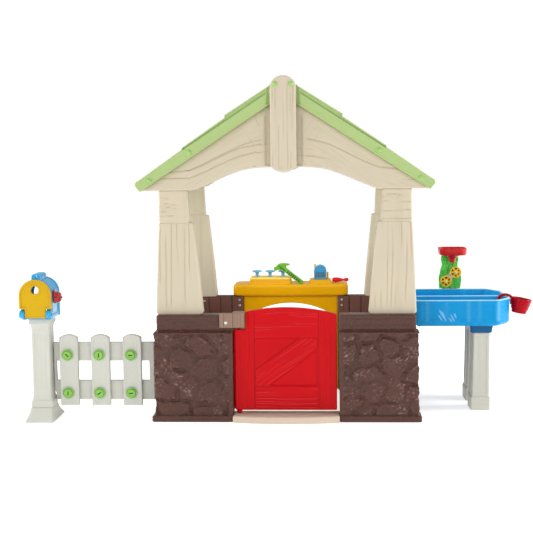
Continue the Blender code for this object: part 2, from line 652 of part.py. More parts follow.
def mailbox():
    floor = 0.418
    front = -0.003
    outer = mailbox_arch(MAIL_HALF - 0.003, floor)
    inner = mailbox_arch(MAIL_HALF - 0.009, floor + 0.006)
    body = upright_plate("mailbox_body", [outer, inner], front, MAIL_BACK - front)
    for word, side in (("left", -1), ("right", 1)):
        middle = MAIL_X + side * 0.0535
        join(body, rod("knuckle_" + word, "X", (middle, MAIL_PIN_Y, MAIL_PIN_Z - 0.0015), 0.0145, 0.021, 20))
    join(body, stack("mailbox_ridge", [(0.570, MAIL_X - 0.0195, MAIL_X + 0.0195, -0.002, 0.106),
                                       (0.594, MAIL_X - 0.0195, MAIL_X + 0.0195, -0.002, 0.106),
                                       (0.600, MAIL_X - 0.0145, MAIL_X + 0.0145, 0.003, 0.101)], 0.006))
    cut(body, box("mailbox_tab_room", MAIL_X - 0.0430, MAIL_X + 0.0430, -0.05, 0.007, 0.40, 0.47))
    cut(body, rod("mailbox_pin_hole", "X", (MAIL_X, MAIL_PIN_Y, MAIL_PIN_Z), 0.0055, 0.104, 16))
    cut(body, rod("flag_pin_hole", "X", (MAIL_X + 0.060, FLAG_Y, FLAG_Z), 0.0055, 0.03, 16))
    register(body, MAIL_BLUE, (MAIL_X, 0.065, floor))

    tab = 0.0425
    tab_bottom, shoulder = 0.426, 0.4626
    outline = [(MAIL_X - tab, tab_bottom), (MAIL_X + tab, tab_bottom), (MAIL_X + tab, shoulder - 0.004),
               (MAIL_X + MAIL_HALF - 0.004, shoulder - 0.002), (MAIL_X + MAIL_HALF, shoulder + 0.004)]
    outline += arc((MAIL_X, MAIL_SPRING), MAIL_HALF, 0, 180, 20)
    outline += [(MAIL_X - MAIL_HALF, shoulder + 0.004), (MAIL_X - MAIL_HALF + 0.004, shoulder - 0.002),
                (MAIL_X - tab, shoulder - 0.004)]
    hole = arc((MAIL_X, 0.5395), 0.016, 0, 345, 23)
    lid = upright_plate("mailbox_door", [outline, hole], -0.020, 0.016)
    soften(lid, 0.002, 1, 60)
    join(lid, rod("mailbox_door_pins", "X", (MAIL_X, MAIL_PIN_Y, MAIL_PIN_Z), 0.005, 0.100, 16))
    register(lid, YELLOW, (MAIL_X, MAIL_PIN_Y, MAIL_PIN_Z))

    face = MAIL_X + MAIL_HALF - 0.003 + GAP
    profile = [(0.0, 0.034), (0.004, 0.033), (0.006, 0.026), (0.014, 0.022), (0.022, 0.014), (0.0245, 0.006),
               (0.0245, 0.0), (0.005, 0.0), (0.005, -0.012), (0.0, -0.012)]
    flag = turned("mailbox_flag", profile, "X", (face, FLAG_Y, FLAG_Z), 20)
    join(flag, box("flag_arm", face, face + 0.008, FLAG_Y - 0.024, FLAG_Y - 0.010, FLAG_Z, 0.536))
    register(flag, TOY_RED, (face, FLAG_Y, FLAG_Z))


# Fence ----------------------------------------------------------------------------------------------------
def fence():
    rail_front = PICKET_FRONT + PICKET_THICK + GAP
    shaft = POST_X + POST_HALF + GAP
    plinth = POST_X + 0.0455 + GAP
    house = -LEDGE_HALF - GAP
    outer = [(plinth, 0.072), (house, 0.072), (house, 0.310), (shaft, 0.310), (shaft, 0.116), (plinth, 0.100)]
    window = rectangle(-0.9477, -0.563, 0.1515, 0.233)
    frame = upright_plate("fence_frame", [outer, window], rail_front, RAIL_THICK)
    soften(frame, 0.003, 1, 60)
    number = 0
    for step in range(3):
        middle = PICKET_FIRST + step * PICKET_PITCH
        crown, shoulder, bottom = 0.346, 0.333, 0.052
        rise = crown - shoulder
        radius = (PICKET_HALF ** 2 + rise ** 2) / (2 * rise)
        sweep = math.degrees(math.asin(PICKET_HALF / radius))
        outline = [(middle - PICKET_HALF, bottom), (middle + PICKET_HALF, bottom)]
        outline += arc((middle, crown - radius), radius, 90 - sweep, 90 + sweep, 8)
        picket = upright_plate("picket_%d" % (step + 1), [outline], PICKET_FRONT, PICKET_THICK)
        soften(picket, 0.003, 1, 60)
        for height in KNOB_ROWS:
            number += 1
            bore(picket, middle - 0.0045, height, PICKET_FRONT - 0.01, 0.05, 0.010 + RUN, 16)
            bore(frame, middle - 0.0045, height, PICKET_FRONT - 0.01, 0.08, 0.010 + RUN, 16)
            knob("fence_knob_%d" % number, middle - 0.0045, height, 50 * number)
        register(picket, OFF_WHITE, (middle, PICKET_FRONT, bottom))
    register(frame, OFF_WHITE, (-0.75, rail_front, 0.072))


def knob(name, x, z, slot_angle):
    profile = [(0.0, -0.0145), (0.0145, -0.0145), (0.0165, -0.0125), (0.0165, -0.0085), (0.0215, -0.0075),
               (KNOB_RADIUS, -0.005), (KNOB_RADIUS, 0.0), (0.010, 0.0), (0.010, 0.0445), (0.0, 0.0445)]
    front = PICKET_FRONT - GAP
    obj = turned(name, [(radius, -along) for radius, along in profile], "Y", (x, front, z), 16)
    slot = box(name + "_slot", x - 0.0065, x + 0.0065, front - 0.02, front - 0.0105, z - 0.0016, z + 0.0016)
    turn = Matrix.Translation((x, 0, z)) @ Matrix.Rotation(math.radians(slot_angle), 4, "Y")
    slot.data.transform(turn @ Matrix.Translation((-x, 0, -z)))
    cut(obj, slot)
    return register(obj, KNOB_GREEN, (x, front, z))


# Sand and water table -------------------------------------------------------------------------------------
def table_outline():
    corner = 0.056
    return [(TABLE_LEFT, TABLE_FRONT), (TABLE_RIGHT - corner, TABLE_FRONT),
            (TABLE_RIGHT, TABLE_FRONT + corner * 1.3), (TABLE_RIGHT, TABLE_BACK - corner * 1.5),
            (TABLE_RIGHT - corner, TABLE_BACK), (TABLE_LEFT, TABLE_BACK)]


def tapered(name, outline, levels, rounding):
    """A solid on one outline whose edge moves inwards by a different amount at each height."""
    rings = []
    for height, amount in levels:
        ring = fillet(inset(outline, amount), rounding)
        rings.append([(across, along, height) for across, along in ring])
    return loft(name, rings)


def table():
    divider = 0.310
    wall_thick = 0.016
    side = [(TABLE_BOTTOM, 0.022), (0.372, 0.014), (0.448, 0.006), (0.450, 0.0), (TABLE_RIM, 0.0)]
    basin = tapered("table_basin", table_outline(), side, 0.014)
    right = TABLE_RIGHT - wall_thick
    left = TABLE_LEFT + wall_thick
    front_pocket = [(left, TABLE_FRONT + wall_thick), (right - 0.050, TABLE_FRONT + wall_thick),
                    (right, TABLE_FRONT + 0.083), (right, divider - 0.008), (left, divider - 0.008)]
    back_pocket = [(left, divider + 0.008), (right, divider + 0.008), (right, TABLE_BACK - 0.094),
                   (right - 0.046, TABLE_BACK - wall_thick), (left, TABLE_BACK - wall_thick)]
    for word, pocket in (("front", front_pocket), ("back", back_pocket)):
        cut(basin, tapered("basin_%s_pocket" % word, pocket,
                           [(0.366, 0.018), (0.380, 0.010), (0.456, 0.004), (0.480, 0.0)], 0.012))
    for order, along in enumerate(LEG_Y):
        join(basin, stack("leg_socket_%d" % (order + 1), [
            (0.326, LEG_X - 0.044, LEG_X + 0.044, along - 0.058, along + 0.058),
            (0.364, LEG_X - 0.046, LEG_X + 0.046, along - 0.060, along + 0.060)], 0.008))
        cut(basin, box("leg_recess_%d" % (order + 1), LEG_X - 0.030, LEG_X + 0.030, along - 0.040,
                       along + 0.040, 0.30, 0.350))
    register(basin, TABLE_BLUE, (TABLE_LEFT, (TABLE_FRONT + TABLE_BACK) / 2, TABLE_RIM))

    for word, along in zip(("front", "back"), LEG_Y):
        def level(height, half, half_depth, shift):
            middle = LEG_X + shift
            return height, middle - half, middle + half, along - half_depth, along + half_depth
        leg = stack("table_%s_leg" % word, [
            level(0.0, 0.0405, 0.053, -0.001), level(0.056, 0.0405, 0.053, -0.001),
            level(0.060, 0.0365, 0.050, 0.0), level(0.3257, 0.0350, 0.048, 0.003),
            level(0.3259, 0.0297, 0.0397, 0.0), level(0.3497, 0.0297, 0.0397, 0.0)], 0.006)
        register(leg, OFF_WHITE, (LEG_X, along, 0.0))


def wheel_tower():
    bottom = TABLE_RIM + GAP
    top = TRAY_BOTTOM - GAP
    plate_front, plate_thick = 0.548, 0.024
    right_side = []
    steps = 10
    for step in range(steps + 1):
        share = step / steps
        half = 0.048 - 0.011 * share + 0.0025 * math.sin(share * 5 * math.pi)
        right_side.append((half, bottom + (top - bottom) * share))
    outline = [(TOWER_X + half, height) for half, height in right_side]
    outline += [(TOWER_X - half, height) for half, height in reversed(right_side)]
    tower = upright_plate("wheel_tower", [outline], plate_front, plate_thick)
    soften(tower, 0.002, 1, 60)
    join(tower, box("tower_clip", TOWER_X - 0.030, TOWER_X + 0.030, TABLE_BACK + GAP, TABLE_BACK + 0.010,
                    0.440, 0.49))
    for order, (across, height) in enumerate(WHEELS):
        join(tower, rod("wheel_axle_%d" % (order + 1), "Y", (across, 0.534, height), 0.004, 0.044, 12))
    register(tower, LEAF_GREEN, (TOWER_X, plate_front, bottom))

    for order, (across, height) in enumerate(WHEELS):
        outline = []
        blades = 6
        for blade in range(blades):
            base = 360 * blade / blades
            outline += arc((across, height), 0.0095, base - 22, base - 14, 1)
            outline += arc((across, height), WHEEL_RADIUS, base - 4, base + 8, 1)
        hole = arc((across, height), 0.004 + RUN, 0, 330, 11)
        wheel = upright_plate("water_wheel_%d" % (order + 1), [outline, hole], WHEEL_Y - 0.013, 0.026)
        register(wheel, WHEEL_YELLOW, (across, WHEEL_Y, height))

    def square(half, height):
        return height, TRAY_X - half, TRAY_X + half, TRAY_Y - half, TRAY_Y + half
    levels = [square(0.050, TRAY_BOTTOM), square(0.056, 0.628), square(0.0605, 0.652)]
    tray = stack("water_tray", levels, 0.012, 3)
    cut(tray, stack("tray_pocket", [square(0.046, TRAY_BOTTOM + 0.005), square(0.0575, 0.660)], 0.010, 3))
    funnel = [(0.0, TRAY_BOTTOM + 0.003), (0.026, TRAY_BOTTOM + 0.003), (0.0255, TRAY_BOTTOM - 0.002),
              (0.0125, 0.588), (0.0, 0.588)]
    join(tray, turned("tray_funnel", funnel, "Z", (TRAY_X, TRAY_Y, 0.0), 20))
    throat = [(0.0, 0.640), (0.0220, 0.640), (0.0220, TRAY_BOTTOM), (0.0095, 0.590), (0.0095, 0.580),
              (0.0, 0.580)]
    cut(tray, turned("tray_throat", throat, "Z", (TRAY_X, TRAY_Y, 0.0), 20))
    register(tray, TOY_RED, (TRAY_X, TRAY_Y, TRAY_BOTTOM))


def cup():
    height = 0.062
    profile = [(0.0, 0.0), (0.0300, 0.0), (0.0315, 0.003), (0.0330, 0.016), (0.0365, 0.018), (0.0385, 0.045),
               (0.0410, 0.048), (0.0430, height), (0.0395, height), (0.0350, 0.030), (0.0290, 0.004),
               (0.0, 0.004)]
    profile = list(reversed(profile))
    obj = turned("scoop_cup", profile, "Z", (0.0, 0.0, 0.0), 24)
    tilt = Matrix.Rotation(math.radians(CUP_TILT), 4, "Y")
    obj.data.transform(Matrix.Translation((CUP_X, CUP_Y, 0.400)) @ tilt)
    rim = TABLE_RIM + 0.0008
    join(obj, box("cup_link", TABLE_RIGHT + 0.0015, 0.930, CUP_Y - 0.0088, CUP_Y + 0.0088, 0.455, rim + 0.005))
    join(obj, box("cup_strap", 0.8755, 0.9285, CUP_Y - 0.009, CUP_Y + 0.009, rim, rim + 0.007))
    join(obj, box("cup_hook", 0.8755, 0.8815, CUP_Y - 0.009, CUP_Y + 0.009, rim - 0.014, rim + 0.006))
    return register(obj, TOY_RED, (CUP_X, CUP_Y, 0.44))


# Assembly -------------------------------------------------------------------------------------------------
house_walls = house()
door()
hinge_bracket(house_walls["left"])
workbench()
for peg_number in range(3):
    peg("peg_%d" % (peg_number + 1), PEG_LEFT + peg_number * PEG_PITCH)
vise_jaw()
hammer()
screwdriver()
mailbox_post()
mailbox()
fence()
table()
wheel_tower()
cup()
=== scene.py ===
"""The looks of the plastic playhouse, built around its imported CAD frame.

Metres, +Z up, in the row's frame.
"""
import math

import bmesh
import bpy
import numpy as np
from mathutils import Matrix, Vector
from mathutils.geometry import delaunay_2d_cdt


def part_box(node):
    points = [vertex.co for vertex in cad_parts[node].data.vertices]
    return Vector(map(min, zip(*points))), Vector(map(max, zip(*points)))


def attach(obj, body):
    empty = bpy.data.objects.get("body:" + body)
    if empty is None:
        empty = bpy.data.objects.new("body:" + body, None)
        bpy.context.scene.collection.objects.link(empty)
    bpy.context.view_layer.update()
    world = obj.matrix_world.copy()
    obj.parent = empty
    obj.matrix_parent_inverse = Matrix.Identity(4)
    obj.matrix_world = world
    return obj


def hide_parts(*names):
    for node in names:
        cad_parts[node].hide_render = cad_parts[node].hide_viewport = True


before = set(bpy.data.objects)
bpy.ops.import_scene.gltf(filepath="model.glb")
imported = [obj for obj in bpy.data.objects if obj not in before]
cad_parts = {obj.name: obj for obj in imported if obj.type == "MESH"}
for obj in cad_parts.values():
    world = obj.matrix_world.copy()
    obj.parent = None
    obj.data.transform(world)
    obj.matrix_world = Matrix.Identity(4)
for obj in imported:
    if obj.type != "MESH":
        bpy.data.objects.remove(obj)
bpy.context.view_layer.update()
HOUSE = "house"
WHITE_LIGHT = (1.0, 1.0, 1.0, 1.0)
SIDES = (("left", -1), ("right", 1))


def hand(side):
    return "left" if side < 0 else "right"


# Camera, light and floor ----------------------------------------------------------------------------------
def camera():
    """The photo's camera. Its angles are in radians: turned left, looking down and rolled."""
    place = (0.1722, -4.2307, 1.0534)
    yaw, pitch, roll = -0.0576, 0.1003, 0.0121
    forward = Vector((math.sin(yaw) * math.cos(pitch), math.cos(yaw) * math.cos(pitch), -math.sin(pitch)))
    right = Vector((math.cos(yaw), -math.sin(yaw), 0.0))
    down = forward.cross(right)
    rolled_right = right * math.cos(roll) + down * math.sin(roll)
    rolled_down = down * math.cos(roll) - right * math.sin(roll)
    data = bpy.data.cameras.new("camera")
    data.sensor_width = 36.0
    data.lens = 72.95
    obj = bpy.data.objects.new("camera", data)
    turn = Matrix((rolled_right, -rolled_down, -forward)).transposed().to_4x4()
    obj.matrix_world = Matrix.Translation(place) @ turn
    bpy.context.scene.collection.objects.link(obj)
    bpy.context.scene.camera = obj


def area_light(name, place, target, size, power):
    data = bpy.data.lights.new(name, "AREA")
    data.shape = "DISK"
    data.size = size
    data.energy = power
    obj = bpy.data.objects.new(name, data)
    obj.location = place
    obj.rotation_euler = (Vector(target) - Vector(place)).to_track_quat("-Z", "Y").to_euler()
    obj.visible_camera = False
    bpy.context.scene.collection.objects.link(obj)


def put(node, **values):
    """Sets a node's inputs. An underscore stands for a space in an input's name."""
    for name, value in values.items():
        node.inputs[name.replace("_", " ")].default_value = value


def studio():
    """Soft light all round, with a world that the camera sees as plain white."""
    world = bpy.data.worlds.new("studio")
    world.use_nodes = True
    nodes, links = world.node_tree.nodes, world.node_tree.links
    light = nodes["Background"]
    put(light, Color=WHITE_LIGHT, Strength=0.56)
    seen = nodes.new("ShaderNodeBackground")
    put(seen, Color=WHITE_LIGHT, Strength=1.0)
    path = nodes.new("ShaderNodeLightPath")
    mix = nodes.new("ShaderNodeMixShader")
    links.new(path.outputs["Is Camera Ray"], mix.inputs["Fac"])
    links.new(light.outputs["Background"], mix.inputs[1])
    links.new(seen.outputs["Background"], mix.inputs[2])
    links.new(mix.outputs["Shader"], nodes["World Output"].inputs["Surface"])
    bpy.context.scene.world = world
    bpy.context.scene.view_settings.view_transform = "Standard"
    area_light("key", (-1.7, -3.9, 2.3), (0.0, 0.3, 0.5), 2.4, 50)
    area_light("fill", (2.2, -3.6, 1.3), (0.0, 0.4, 0.5), 2.2, 27)
    area_light("side_left", (-3.4, 0.3, 1.3), (0.3, 0.4, 0.6), 1.8, 80)
    area_light("side_right", (3.4, 0.3, 1.3), (-0.3, 0.4, 0.6), 1.8, 80)
    area_light("top", (0.2, 0.6, 4.2), (0.0, 0.3, 0.4), 3.0, 40)
    area_light("inner", (0.0, 0.12, 0.90), (0.0, 0.66, 0.66), 0.5, 1.5)
    mesh = bpy.data.meshes.new("floor")
    reach = 14.0
    mesh.from_pydata([(-reach, -reach, 0), (reach, -reach, 0), (reach, reach, 0), (-reach, reach, 0)], [],
                     [(0, 1, 2, 3)])
    floor = bpy.data.objects.new("floor", mesh)
    bpy.context.scene.collection.objects.link(floor)
    material = bpy.data.materials.new("floor")
    material.use_nodes = True
    surface = material.node_tree.nodes["Principled BSDF"]
    put(surface, Base_Color=(0.9, 0.9, 0.9, 1.0), Roughness=0.9, Emission_Color=WHITE_LIGHT,
        Emission_Strength=0.50)
    mesh.materials.append(material)


# Materials ------------------------------------------------------------------------------------------------
def linear(value):
    value /= 255.0
    return value / 12.92 if value <= 0.04045 else ((value + 0.055) / 1.055) ** 2.4


def tint(red, green, blue, gain=1.0):
    return tuple(min(1.0, linear(channel) * gain) for channel in (red, green, blue)) + (1.0,)


def plastic(name, rgb, roughness=0.45, mottle=0.06, peel=0.05, painted_crevice_shade=0.0, ridge=0.0, streak=None, glow=0.0,
            specular=0.5, coat=0.0, flecks_and_painted_glints=0.0, lines_and_painted_light=None, painted_highlight=(255, 255, 255), lumps=0.0):
    """Moulded plastic with soft mottling, orange peel, roughness patches, painted crevice shade and painted
    highlights.
    """
    material = bpy.data.materials.new(name)
    material.use_nodes = True
    tree = material.node_tree
    nodes, links = tree.nodes, tree.links
    shader = nodes["Principled BSDF"]
    put(shader, Specular_IOR_Level=specular, Subsurface_Weight=glow, Subsurface_Radius=(0.012, 0.009, 0.006),
        Subsurface_Scale=0.25, Coat_Weight=coat, Coat_Roughness=0.12)
    place = nodes.new("ShaderNodeTexCoord")

    def noise(scale, detail, stretch=None):
        texture = nodes.new("ShaderNodeTexNoise")
        put(texture, Scale=scale, Detail=detail)
        if stretch:
            mapping = nodes.new("ShaderNodeMapping")
            put(mapping, Scale=stretch)
            links.new(place.outputs["Object"], mapping.inputs["Vector"])
            links.new(mapping.outputs["Vector"], texture.inputs["Vector"])
        else:
            links.new(place.outputs["Object"], texture.inputs["Vector"])
        return texture.outputs["Fac"]

    def remap(value, low, high, to_low, to_high):
        step = nodes.new("ShaderNodeMapRange")
        put(step, From_Min=low, From_Max=high, To_Min=to_low, To_Max=to_high)
        links.new(value, step.inputs["Value"])
        return step.outputs["Result"]

    def blend_colour(factor, first, second, method="MIX"):
        mix = nodes.new("ShaderNodeMix")
        mix.data_type = "RGBA"
        mix.blend_type = method
        links.new(factor, mix.inputs["Factor"])
        for socket, value in ((mix.inputs["A"], first), (mix.inputs["B"], second)):
            if isinstance(value, tuple):
                socket.default_value = value
            else:
                links.new(value, socket)
        return mix.outputs["Result"]

    def bump(height, strength, distance, below=None):
        layer = nodes.new("ShaderNodeBump")
        put(layer, Strength=strength, Distance=distance)
        links.new(height, layer.inputs["Height"])
        if below:
            links.new(below, layer.inputs["Normal"])
        return layer.outputs["Normal"]

    colour = blend_colour(remap(noise(5.0, 3.0), 0.3, 0.7, 0.0, 1.0), tint(*rgb, 1.0 - mottle),
                          tint(*rgb, 1.0 + mottle))
    if streak:
        colour = blend_colour(remap(noise(26.0, 4.0, streak), 0.52, 0.72, 0.0, 0.5), colour, tint(*rgb, 0.86))
    # Bright flecks, partly the plastic's own and partly painted glints.
    if flecks_and_painted_glints:
        colour = blend_colour(remap(noise(420.0, 2.0), 0.60, 0.74, 0.0, flecks_and_painted_glints), colour, tint(*rgb, 1.8))
    # Painted shade in crevices and painted highlights on ridges, both read from the mesh's pointiness.
    if painted_crevice_shade or ridge:
        geometry = nodes.new("ShaderNodeNewGeometry")
        point = geometry.outputs["Pointiness"]
        if painted_crevice_shade:
            colour = blend_colour(remap(point, 0.495, 0.44, 0.0, painted_crevice_shade), colour, tint(*rgb, 0.45))
        if ridge:
            colour = blend_colour(remap(point, 0.515, 0.58, 0.0, ridge), colour, tint(*rgb, 1.55))
    # The marks attribute: above 0 towards the line colour, which paints carved lines, painted shade and on
    # the table a painted highlight; below 0 towards the painted highlight colour.
    if lines_and_painted_light:
        carved = nodes.new("ShaderNodeAttribute")
        carved.attribute_name = "lines_and_painted_light"
        colour = blend_colour(remap(carved.outputs["Fac"], 0.0, 1.0, 0.0, 1.0), colour, tint(*lines_and_painted_light))
        colour = blend_colour(remap(carved.outputs["Fac"], 0.0, -1.0, 0.0, 1.0), colour, tint(*painted_highlight))
    links.new(colour, shader.inputs["Base Color"])
    links.new(remap(noise(34.0, 3.0), 0.3, 0.7, roughness - 0.07, roughness + 0.07),
              shader.inputs["Roughness"])
    surface = bump(noise(620.0, 2.0), peel, 0.001)
    surface = bump(noise(38.0, 2.0), 0.12, 0.002, surface)
    if lumps:
        surface = bump(noise(85.0, 5.0), lumps, 0.007, surface)
    links.new(surface, shader.inputs["Normal"])
    return material


BROWN = plastic("stone_brown", (78, 47, 38), 0.31, 0.09, 0.35, painted_crevice_shade=0.3, ridge=0.8, flecks_and_painted_glints=0.25,
                specular=0.3, lines_and_painted_light=(60, 38, 32), painted_highlight=(164, 138, 128), lumps=1.0)
# A lighter copy of the stone brown, painted light for inward faces that get less light.
REVEAL_PAINTED_LIGHTER = plastic("stone_brown_inside_painted_lighter", (106, 73, 64), 0.7, 0.06, 0.20, painted_crevice_shade=0.4, ridge=0.3, specular=0.08,
                 lines_and_painted_light=(60, 38, 32), painted_highlight=(150, 122, 112))
BEIGE = plastic("timber_beige", (194, 183, 161), 0.5, 0.025, 0.05, painted_crevice_shade=0.4, glow=0.05, specular=0.25,
                lines_and_painted_light=(158, 138, 106), painted_highlight=(214, 204, 184))
BEIGE_UP = plastic("timber_beige_upright", (194, 183, 161), 0.5, 0.025, 0.05, painted_crevice_shade=0.4,
                   streak=(1, 1, 0.06), glow=0.05, specular=0.25, lines_and_painted_light=(158, 138, 106),
                   painted_highlight=(214, 204, 184))
STEP_BEIGE = plastic("timber_beige_step", (200, 184, 166), 0.5, 0.04, 0.06, painted_crevice_shade=0.4, specular=0.2,
                     lines_and_painted_light=(128, 98, 82), painted_highlight=(214, 204, 184))
GREEN = plastic("roof_green", (158, 180, 116), 0.46, 0.03, 0.12, painted_crevice_shade=0.4, ridge=0.2, specular=0.25,
                lines_and_painted_light=(98, 134, 66), painted_highlight=(196, 218, 160))
BOLT = plastic("bolt_green", (146, 182, 104), 0.3, 0.02, 0.03, specular=0.3)
RED = plastic("door_red", (187, 0, 12), 0.36, 0.05, 0.05, painted_crevice_shade=0.4, ridge=0.3, specular=0.12,
              lines_and_painted_light=(132, 0, 8), painted_highlight=(236, 84, 86))
TAUPE = plastic("bracket_taupe", (138, 112, 96), 0.48, 0.05, 0.06, painted_crevice_shade=0.4, specular=0.2,
                lines_and_painted_light=(104, 80, 68))
YELLOW = plastic("bench_yellow", (226, 167, 0), 0.32, 0.03, 0.03, painted_crevice_shade=0.3, specular=0.15, glow=0.05)
# A paler copy of the bench yellow: a painted highlight for lit top faces.
PAINTED_LIT_YELLOW = plastic("bench_yellow_painted_lit_top", (250, 214, 110), 0.5, 0.06, 0.10, painted_crevice_shade=0.3, specular=0.2)
PEG = plastic("peg_blue", (104, 178, 222), 0.3, 0.03, 0.02, specular=0.3)
VISE = plastic("vise_blue", (62, 158, 212), 0.24, 0.04, 0.02, painted_crevice_shade=0.5, specular=0.4, lines_and_painted_light=(66, 92, 100))
HAMMER = plastic("hammer_green", (104, 176, 44), 0.3, 0.06, 0.02, painted_crevice_shade=0.4, specular=0.25,
                 lines_and_painted_light=(40, 72, 14))
DRIVER = plastic("driver_red", (214, 24, 30), 0.3, 0.04, 0.02, painted_crevice_shade=0.3, specular=0.25,
                 lines_and_painted_light=(150, 8, 14))
WHITE = plastic("fence_white", (191, 191, 182), 0.48, 0.02, 0.05, painted_crevice_shade=0.3, glow=0.05, specular=0.25,
                lines_and_painted_light=(184, 182, 168))
LEG = plastic("leg_white", (186, 185, 174), 0.48, 0.02, 0.05, painted_crevice_shade=0.3, glow=0.05, specular=0.25,
              lines_and_painted_light=(178, 176, 162))
MAIL_BLUE = plastic("mailbox_blue", (16, 152, 204), 0.26, 0.03, 0.03, painted_crevice_shade=0.4, specular=0.35, coat=0.35,
                    lines_and_painted_light=(14, 92, 146), painted_highlight=(178, 214, 232))
MAIL_YELLOW = plastic("mailbox_yellow", (198, 158, 0), 0.3, 0.03, 0.03, painted_crevice_shade=0.4, specular=0.2,
                      lines_and_painted_light=(176, 116, 2))
FLAG = plastic("flag_red", (156, 2, 10), 0.22, 0.03, 0.02, painted_crevice_shade=0.5, specular=0.3, coat=0.4,
               lines_and_painted_light=(96, 2, 8))
KNOB = plastic("knob_green", (132, 186, 86), 0.34, 0.03, 0.02, painted_crevice_shade=0.4, specular=0.25,
               lines_and_painted_light=(40, 66, 30))
BLUE = plastic("table_blue", (0, 134, 192), 0.28, 0.05, 0.04, painted_crevice_shade=0.3, ridge=0.35, specular=0.13,
               lines_and_painted_light=(176, 220, 240), painted_highlight=(10, 172, 240), streak=(1, 1, 0.05))
# A darker copy of the table's blue: painted shade for the sockets under the basin.
SOCKET_PAINTED_SHADE = plastic("socket_blue_painted_shade", (0, 76, 120), 0.34, 0.04, 0.03, painted_crevice_shade=0.3, ridge=0.2, specular=0.2)
LEAF = plastic("tower_green", (98, 212, 84), 0.32, 0.10, 0.03, painted_crevice_shade=0.6, ridge=0.3, specular=0.25,
               lines_and_painted_light=(12, 96, 34))
WHEEL = plastic("wheel_yellow", (254, 204, 40), 0.28, 0.04, 0.02, painted_crevice_shade=0.6, specular=0.25,
                lines_and_painted_light=(130, 52, 16))
TRAY = plastic("tray_red", (190, 28, 30), 0.3, 0.04, 0.02, specular=0.22)
CUP = plastic("cup_red", (158, 0, 18), 0.24, 0.04, 0.02, painted_crevice_shade=0.3, ridge=0.2, specular=0.10)


def screw_metal():
    material = bpy.data.materials.new("screw_grey")
    material.use_nodes = True
    nodes, links = material.node_tree.nodes, material.node_tree.links
    shader = nodes["Principled BSDF"]
    put(shader, Base_Color=tint(205, 203, 197), Metallic=0.85)
    texture = nodes.new("ShaderNodeTexNoise")
    put(texture, Scale=900.0)
    ramp = nodes.new("ShaderNodeMapRange")
    put(ramp, To_Min=0.25, To_Max=0.5)
    links.new(texture.outputs["Fac"], ramp.inputs["Value"])
    links.new(ramp.outputs["Result"], shader.inputs["Roughness"])
    return material


METAL = screw_metal()


def clear_plastic():
    """Milky see-through plastic of the plate between the wheels."""
    material = plastic("wheel_link_milky", (232, 238, 230), 0.28, 0.03, 0.02, specular=0.3)
    put(material.node_tree.nodes["Principled BSDF"], Transmission_Weight=0.2)
    return material


LINK = clear_plastic()


# Noise and relief -----------------------------------------------------------------------------------------
def value_noise(across, along, seed):
    grid = np.random.RandomState(seed).rand(64, 64)
    column, row = np.floor(across).astype(int), np.floor(along).astype(int)
    part_u, part_v = across - column, along - row
    part_u = part_u * part_u * (3 - 2 * part_u)
    part_v = part_v * part_v * (3 - 2 * part_v)

    def corner(step_u, step_v):
        return grid[(column + step_u) % 64, (row + step_v) % 64]
    low = corner(0, 0) * (1 - part_u) + corner(1, 0) * part_u
    high = corner(0, 1) * (1 - part_u) + corner(1, 1) * part_u
    return low * (1 - part_v) + high * part_v


def ripple(across, along, seed, octaves=3):
    """Layered noise between about -1 and 1."""
    total, weight, scale = 0.0, 1.0, 1.0
    for octave in range(octaves):
        total = total + weight * (value_noise(across * scale, along * scale, seed + octave) * 2 - 1)
        weight *= 0.5
        scale *= 2.1
    return total / 1.6


def ease(value, low, high):
    share = np.clip((value - low) / (high - low), 0.0, 1.0)
    return share * share * (3 - 2 * share)


def fall(value, low, high):
    return 1 - ease(value, low, high)


def between(value, low, low_end, high_start, high):
    """1 between the two ramps, 0 outside them."""
    return ease(value, low, low_end) * fall(value, high_start, high)


def crest(away, width):
    """A soft line: 1 on it and close to 0 from twice its width."""
    return np.exp(-(away / width) ** 2)


def stones(across, along, seed):
    """Depth of a fieldstone wall, 0 on the highest stones and up to 1 in the joints."""
    size_u, size_v = 0.106, 0.083
    warp_u = across + 0.015 * ripple(across / 0.050, along / 0.050, seed + 40, 2)
    warp_v = along + 0.015 * ripple(across / 0.050 + 9, along / 0.050, seed + 50, 2)
    grid_u, grid_v = warp_u / size_u, warp_v / size_v
    base_u, base_v = np.floor(grid_u).astype(int), np.floor(grid_v).astype(int)
    jitter = np.random.RandomState(seed).rand(64, 64, 5)
    nearest = np.full(np.shape(across), 9.0)
    second = np.full(np.shape(across), 9.0)
    lift = np.zeros(np.shape(across))
    for step_u in (-1, 0, 1):
        for step_v in (-1, 0, 1):
            cell_u, cell_v = base_u + step_u, base_v + step_v
            own = jitter[cell_u % 64, cell_v % 64]
            off_u = cell_u + 0.5 + 0.8 * (own[..., 0] - 0.5) - grid_u
            off_v = cell_v + 0.5 + 0.8 * (own[..., 1] - 0.5) - grid_v
            away = np.sqrt(off_u ** 2 + off_v ** 2)
            tilted = own[..., 2] + 0.9 * (own[..., 3] - 0.5) * off_u + 0.9 * (own[..., 4] - 0.5) * off_v
            closer = away < nearest
            second = np.where(closer, nearest, np.minimum(second, away))
            lift = np.where(closer, tilted, lift)
            nearest = np.where(closer, away, nearest)
    fading = ease(ripple(across / 0.055, along / 0.055, seed + 30, 2), -0.55, 0.25)
    face = 1 - fall(second - nearest, 0.0, 0.30) * (0.5 + 0.5 * fading)
    lumps = (0.32 * ripple(across / 0.026, along / 0.020, seed + 60)
             + 0.20 * ripple(across / 0.010, along / 0.008, seed + 70, 2))
    return np.clip(1.0 - face * (0.52 + 0.34 * lift) - (0.4 + 0.6 * face) * lumps, 0.0, 1.15)


